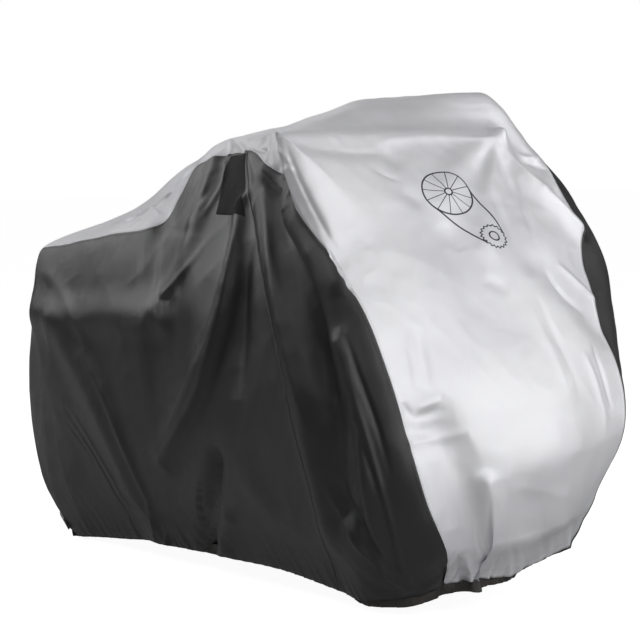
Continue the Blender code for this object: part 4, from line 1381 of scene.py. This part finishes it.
STITCH_ROWS = (
    # thread, panel, edge, distance from it
    ("light_thread", "band", "first_row", SEAM_TO_STITCH),
    ("light_thread", "band", "last_row", SEAM_TO_STITCH),
    ("light_thread", "band", "last_column", HEM_TO_STITCH),
    ("light_thread", "band", "first_column", HEM_TO_STITCH),
    ("dark_thread", "side_near_rear", "last_row", SEAM_TO_STITCH),
    ("dark_thread", "side_near_rear", "last_column", SEAM_TO_STITCH),
    ("dark_thread", "side_near_rear", "first_row", HEM_TO_STITCH),
    ("dark_thread", "side_near_front", "last_row", SEAM_TO_STITCH),
    ("dark_thread", "side_near_front", "last_column", HEM_TO_STITCH),
    ("dark_thread", "side_far_rear", "first_row", SEAM_TO_STITCH),
    ("dark_thread", "side_far_rear", "last_column", SEAM_TO_STITCH),
    ("dark_thread", "side_far_rear", "last_row", HEM_TO_STITCH),
    ("dark_thread", "side_far_front", "first_row", SEAM_TO_STITCH),
    ("dark_thread", "side_far_front", "last_column", HEM_TO_STITCH),
)


def row_beside(name, edge, distance):
    """Points and normals on a panel at one distance from an edge, on each of its crossing lines."""
    grid, facing, run = panels[name], normals[name], run_from(panels[name], edge)
    if edge.endswith("column"):
        grid, facing, run = grid.swapaxes(0, 1), facing.swapaxes(0, 1), run.T
    if edge.startswith("last"):
        grid, facing, run = grid[::-1], facing[::-1], run[::-1]
    lines = np.arange(run.shape[1])
    lines = lines[run[-1] > distance * SHORT_LINE]
    run = run[:, lines]
    k = np.clip(np.sum(run < distance, axis=0) - 1, 0, len(run) - 2)
    here = run[k, np.arange(len(lines))]
    share = (distance - here) / (run[k + 1, np.arange(len(lines))] - here)
    row = k + share
    return sampled(grid, row, lines.astype(float)), unit(sampled(facing, row, lines.astype(float)))


def stitches(points, facing):
    """Little half buried capsules along a line: rings of a circle that narrows at both ends."""
    run = np.concatenate([[0.0], np.cumsum(np.linalg.norm(np.diff(points, axis=0), axis=1))])
    middles = np.arange(STITCH_PITCH, run[-1] - STITCH_PITCH, STITCH_PITCH)

    def at(values, where):
        return np.stack([np.interp(where, run, values[:, k]) for k in range(3)], -1)

    ahead = unit(at(points, middles + STITCH_LONG / 2) - at(points, middles - STITCH_LONG / 2))
    up = unit(at(facing, middles))
    side = unit(np.cross(ahead, up))
    ends, thick = np.array(STITCH_RINGS).T
    turn = np.linspace(0.0, 2 * np.pi, STITCH_ROUND, endpoint=False)
    base = at(points, middles)[:, None, None]
    length = (ends * STITCH_LONG / 2)[None, :, None, None] * ahead[:, None, None]
    width = (thick[:, None] * np.cos(turn))[None, ..., None] * side[:, None, None]
    rise = (thick[:, None] * np.sin(turn))[None, ..., None] * up[:, None, None]
    return base + length + STITCH_HALF * (width + rise + up[:, None, None] * STITCH_RAISED)


def stitch_faces(count):
    """Faces of the open tubes that run through the rings of this many stitches."""
    size = len(STITCH_RINGS) * STITCH_ROUND
    index = np.arange(size).reshape(-1, STITCH_ROUND)
    ahead = np.roll(index, -1, axis=1)
    tube = np.stack([index[:-1], ahead[:-1], ahead[1:], index[1:]], -1).reshape(-1, 4)
    return (tube + size * np.arange(count)[:, None, None]).reshape(-1, 4)


def thread_finish(name, tones):
    """Polyester thread, uneven in tone."""
    material, shade, inputs = new_finish(name)
    feed(shade, inputs, {
        "Base Color": noise(shade, size=400.0, detail=1.0).between(*tones),
        "Roughness": STITCH_ROUGH,
        "Normal": relief(shade, noise(shade, size=2500.0, detail=1.0), STITCH_RELIEF),
    })
    return material


inner = net[PATCH_INSET:-PATCH_INSET, PATCH_INSET:-PATCH_INSET]
patch_round = np.concatenate([inner[0], inner[:, -1], inner[-1, ::-1], inner[::-1, 0]])
patch_facing = np.broadcast_to(normals["side_near_rear"][PATCH_SPOT], patch_round.shape)
for thread, tones in STITCH_COLOURS.items():
    lines = [row_beside(name, edge, far) for kind, name, edge, far in STITCH_ROWS if kind == thread]
    if thread == "dark_thread":
        lines.append((patch_round, patch_facing))
    rings = np.concatenate([stitches(points, facing) for points, facing in lines])
    new_piece(thread, smooth_mesh(thread, rings, stitch_faces(len(rings)), thread_finish(thread, tones)))
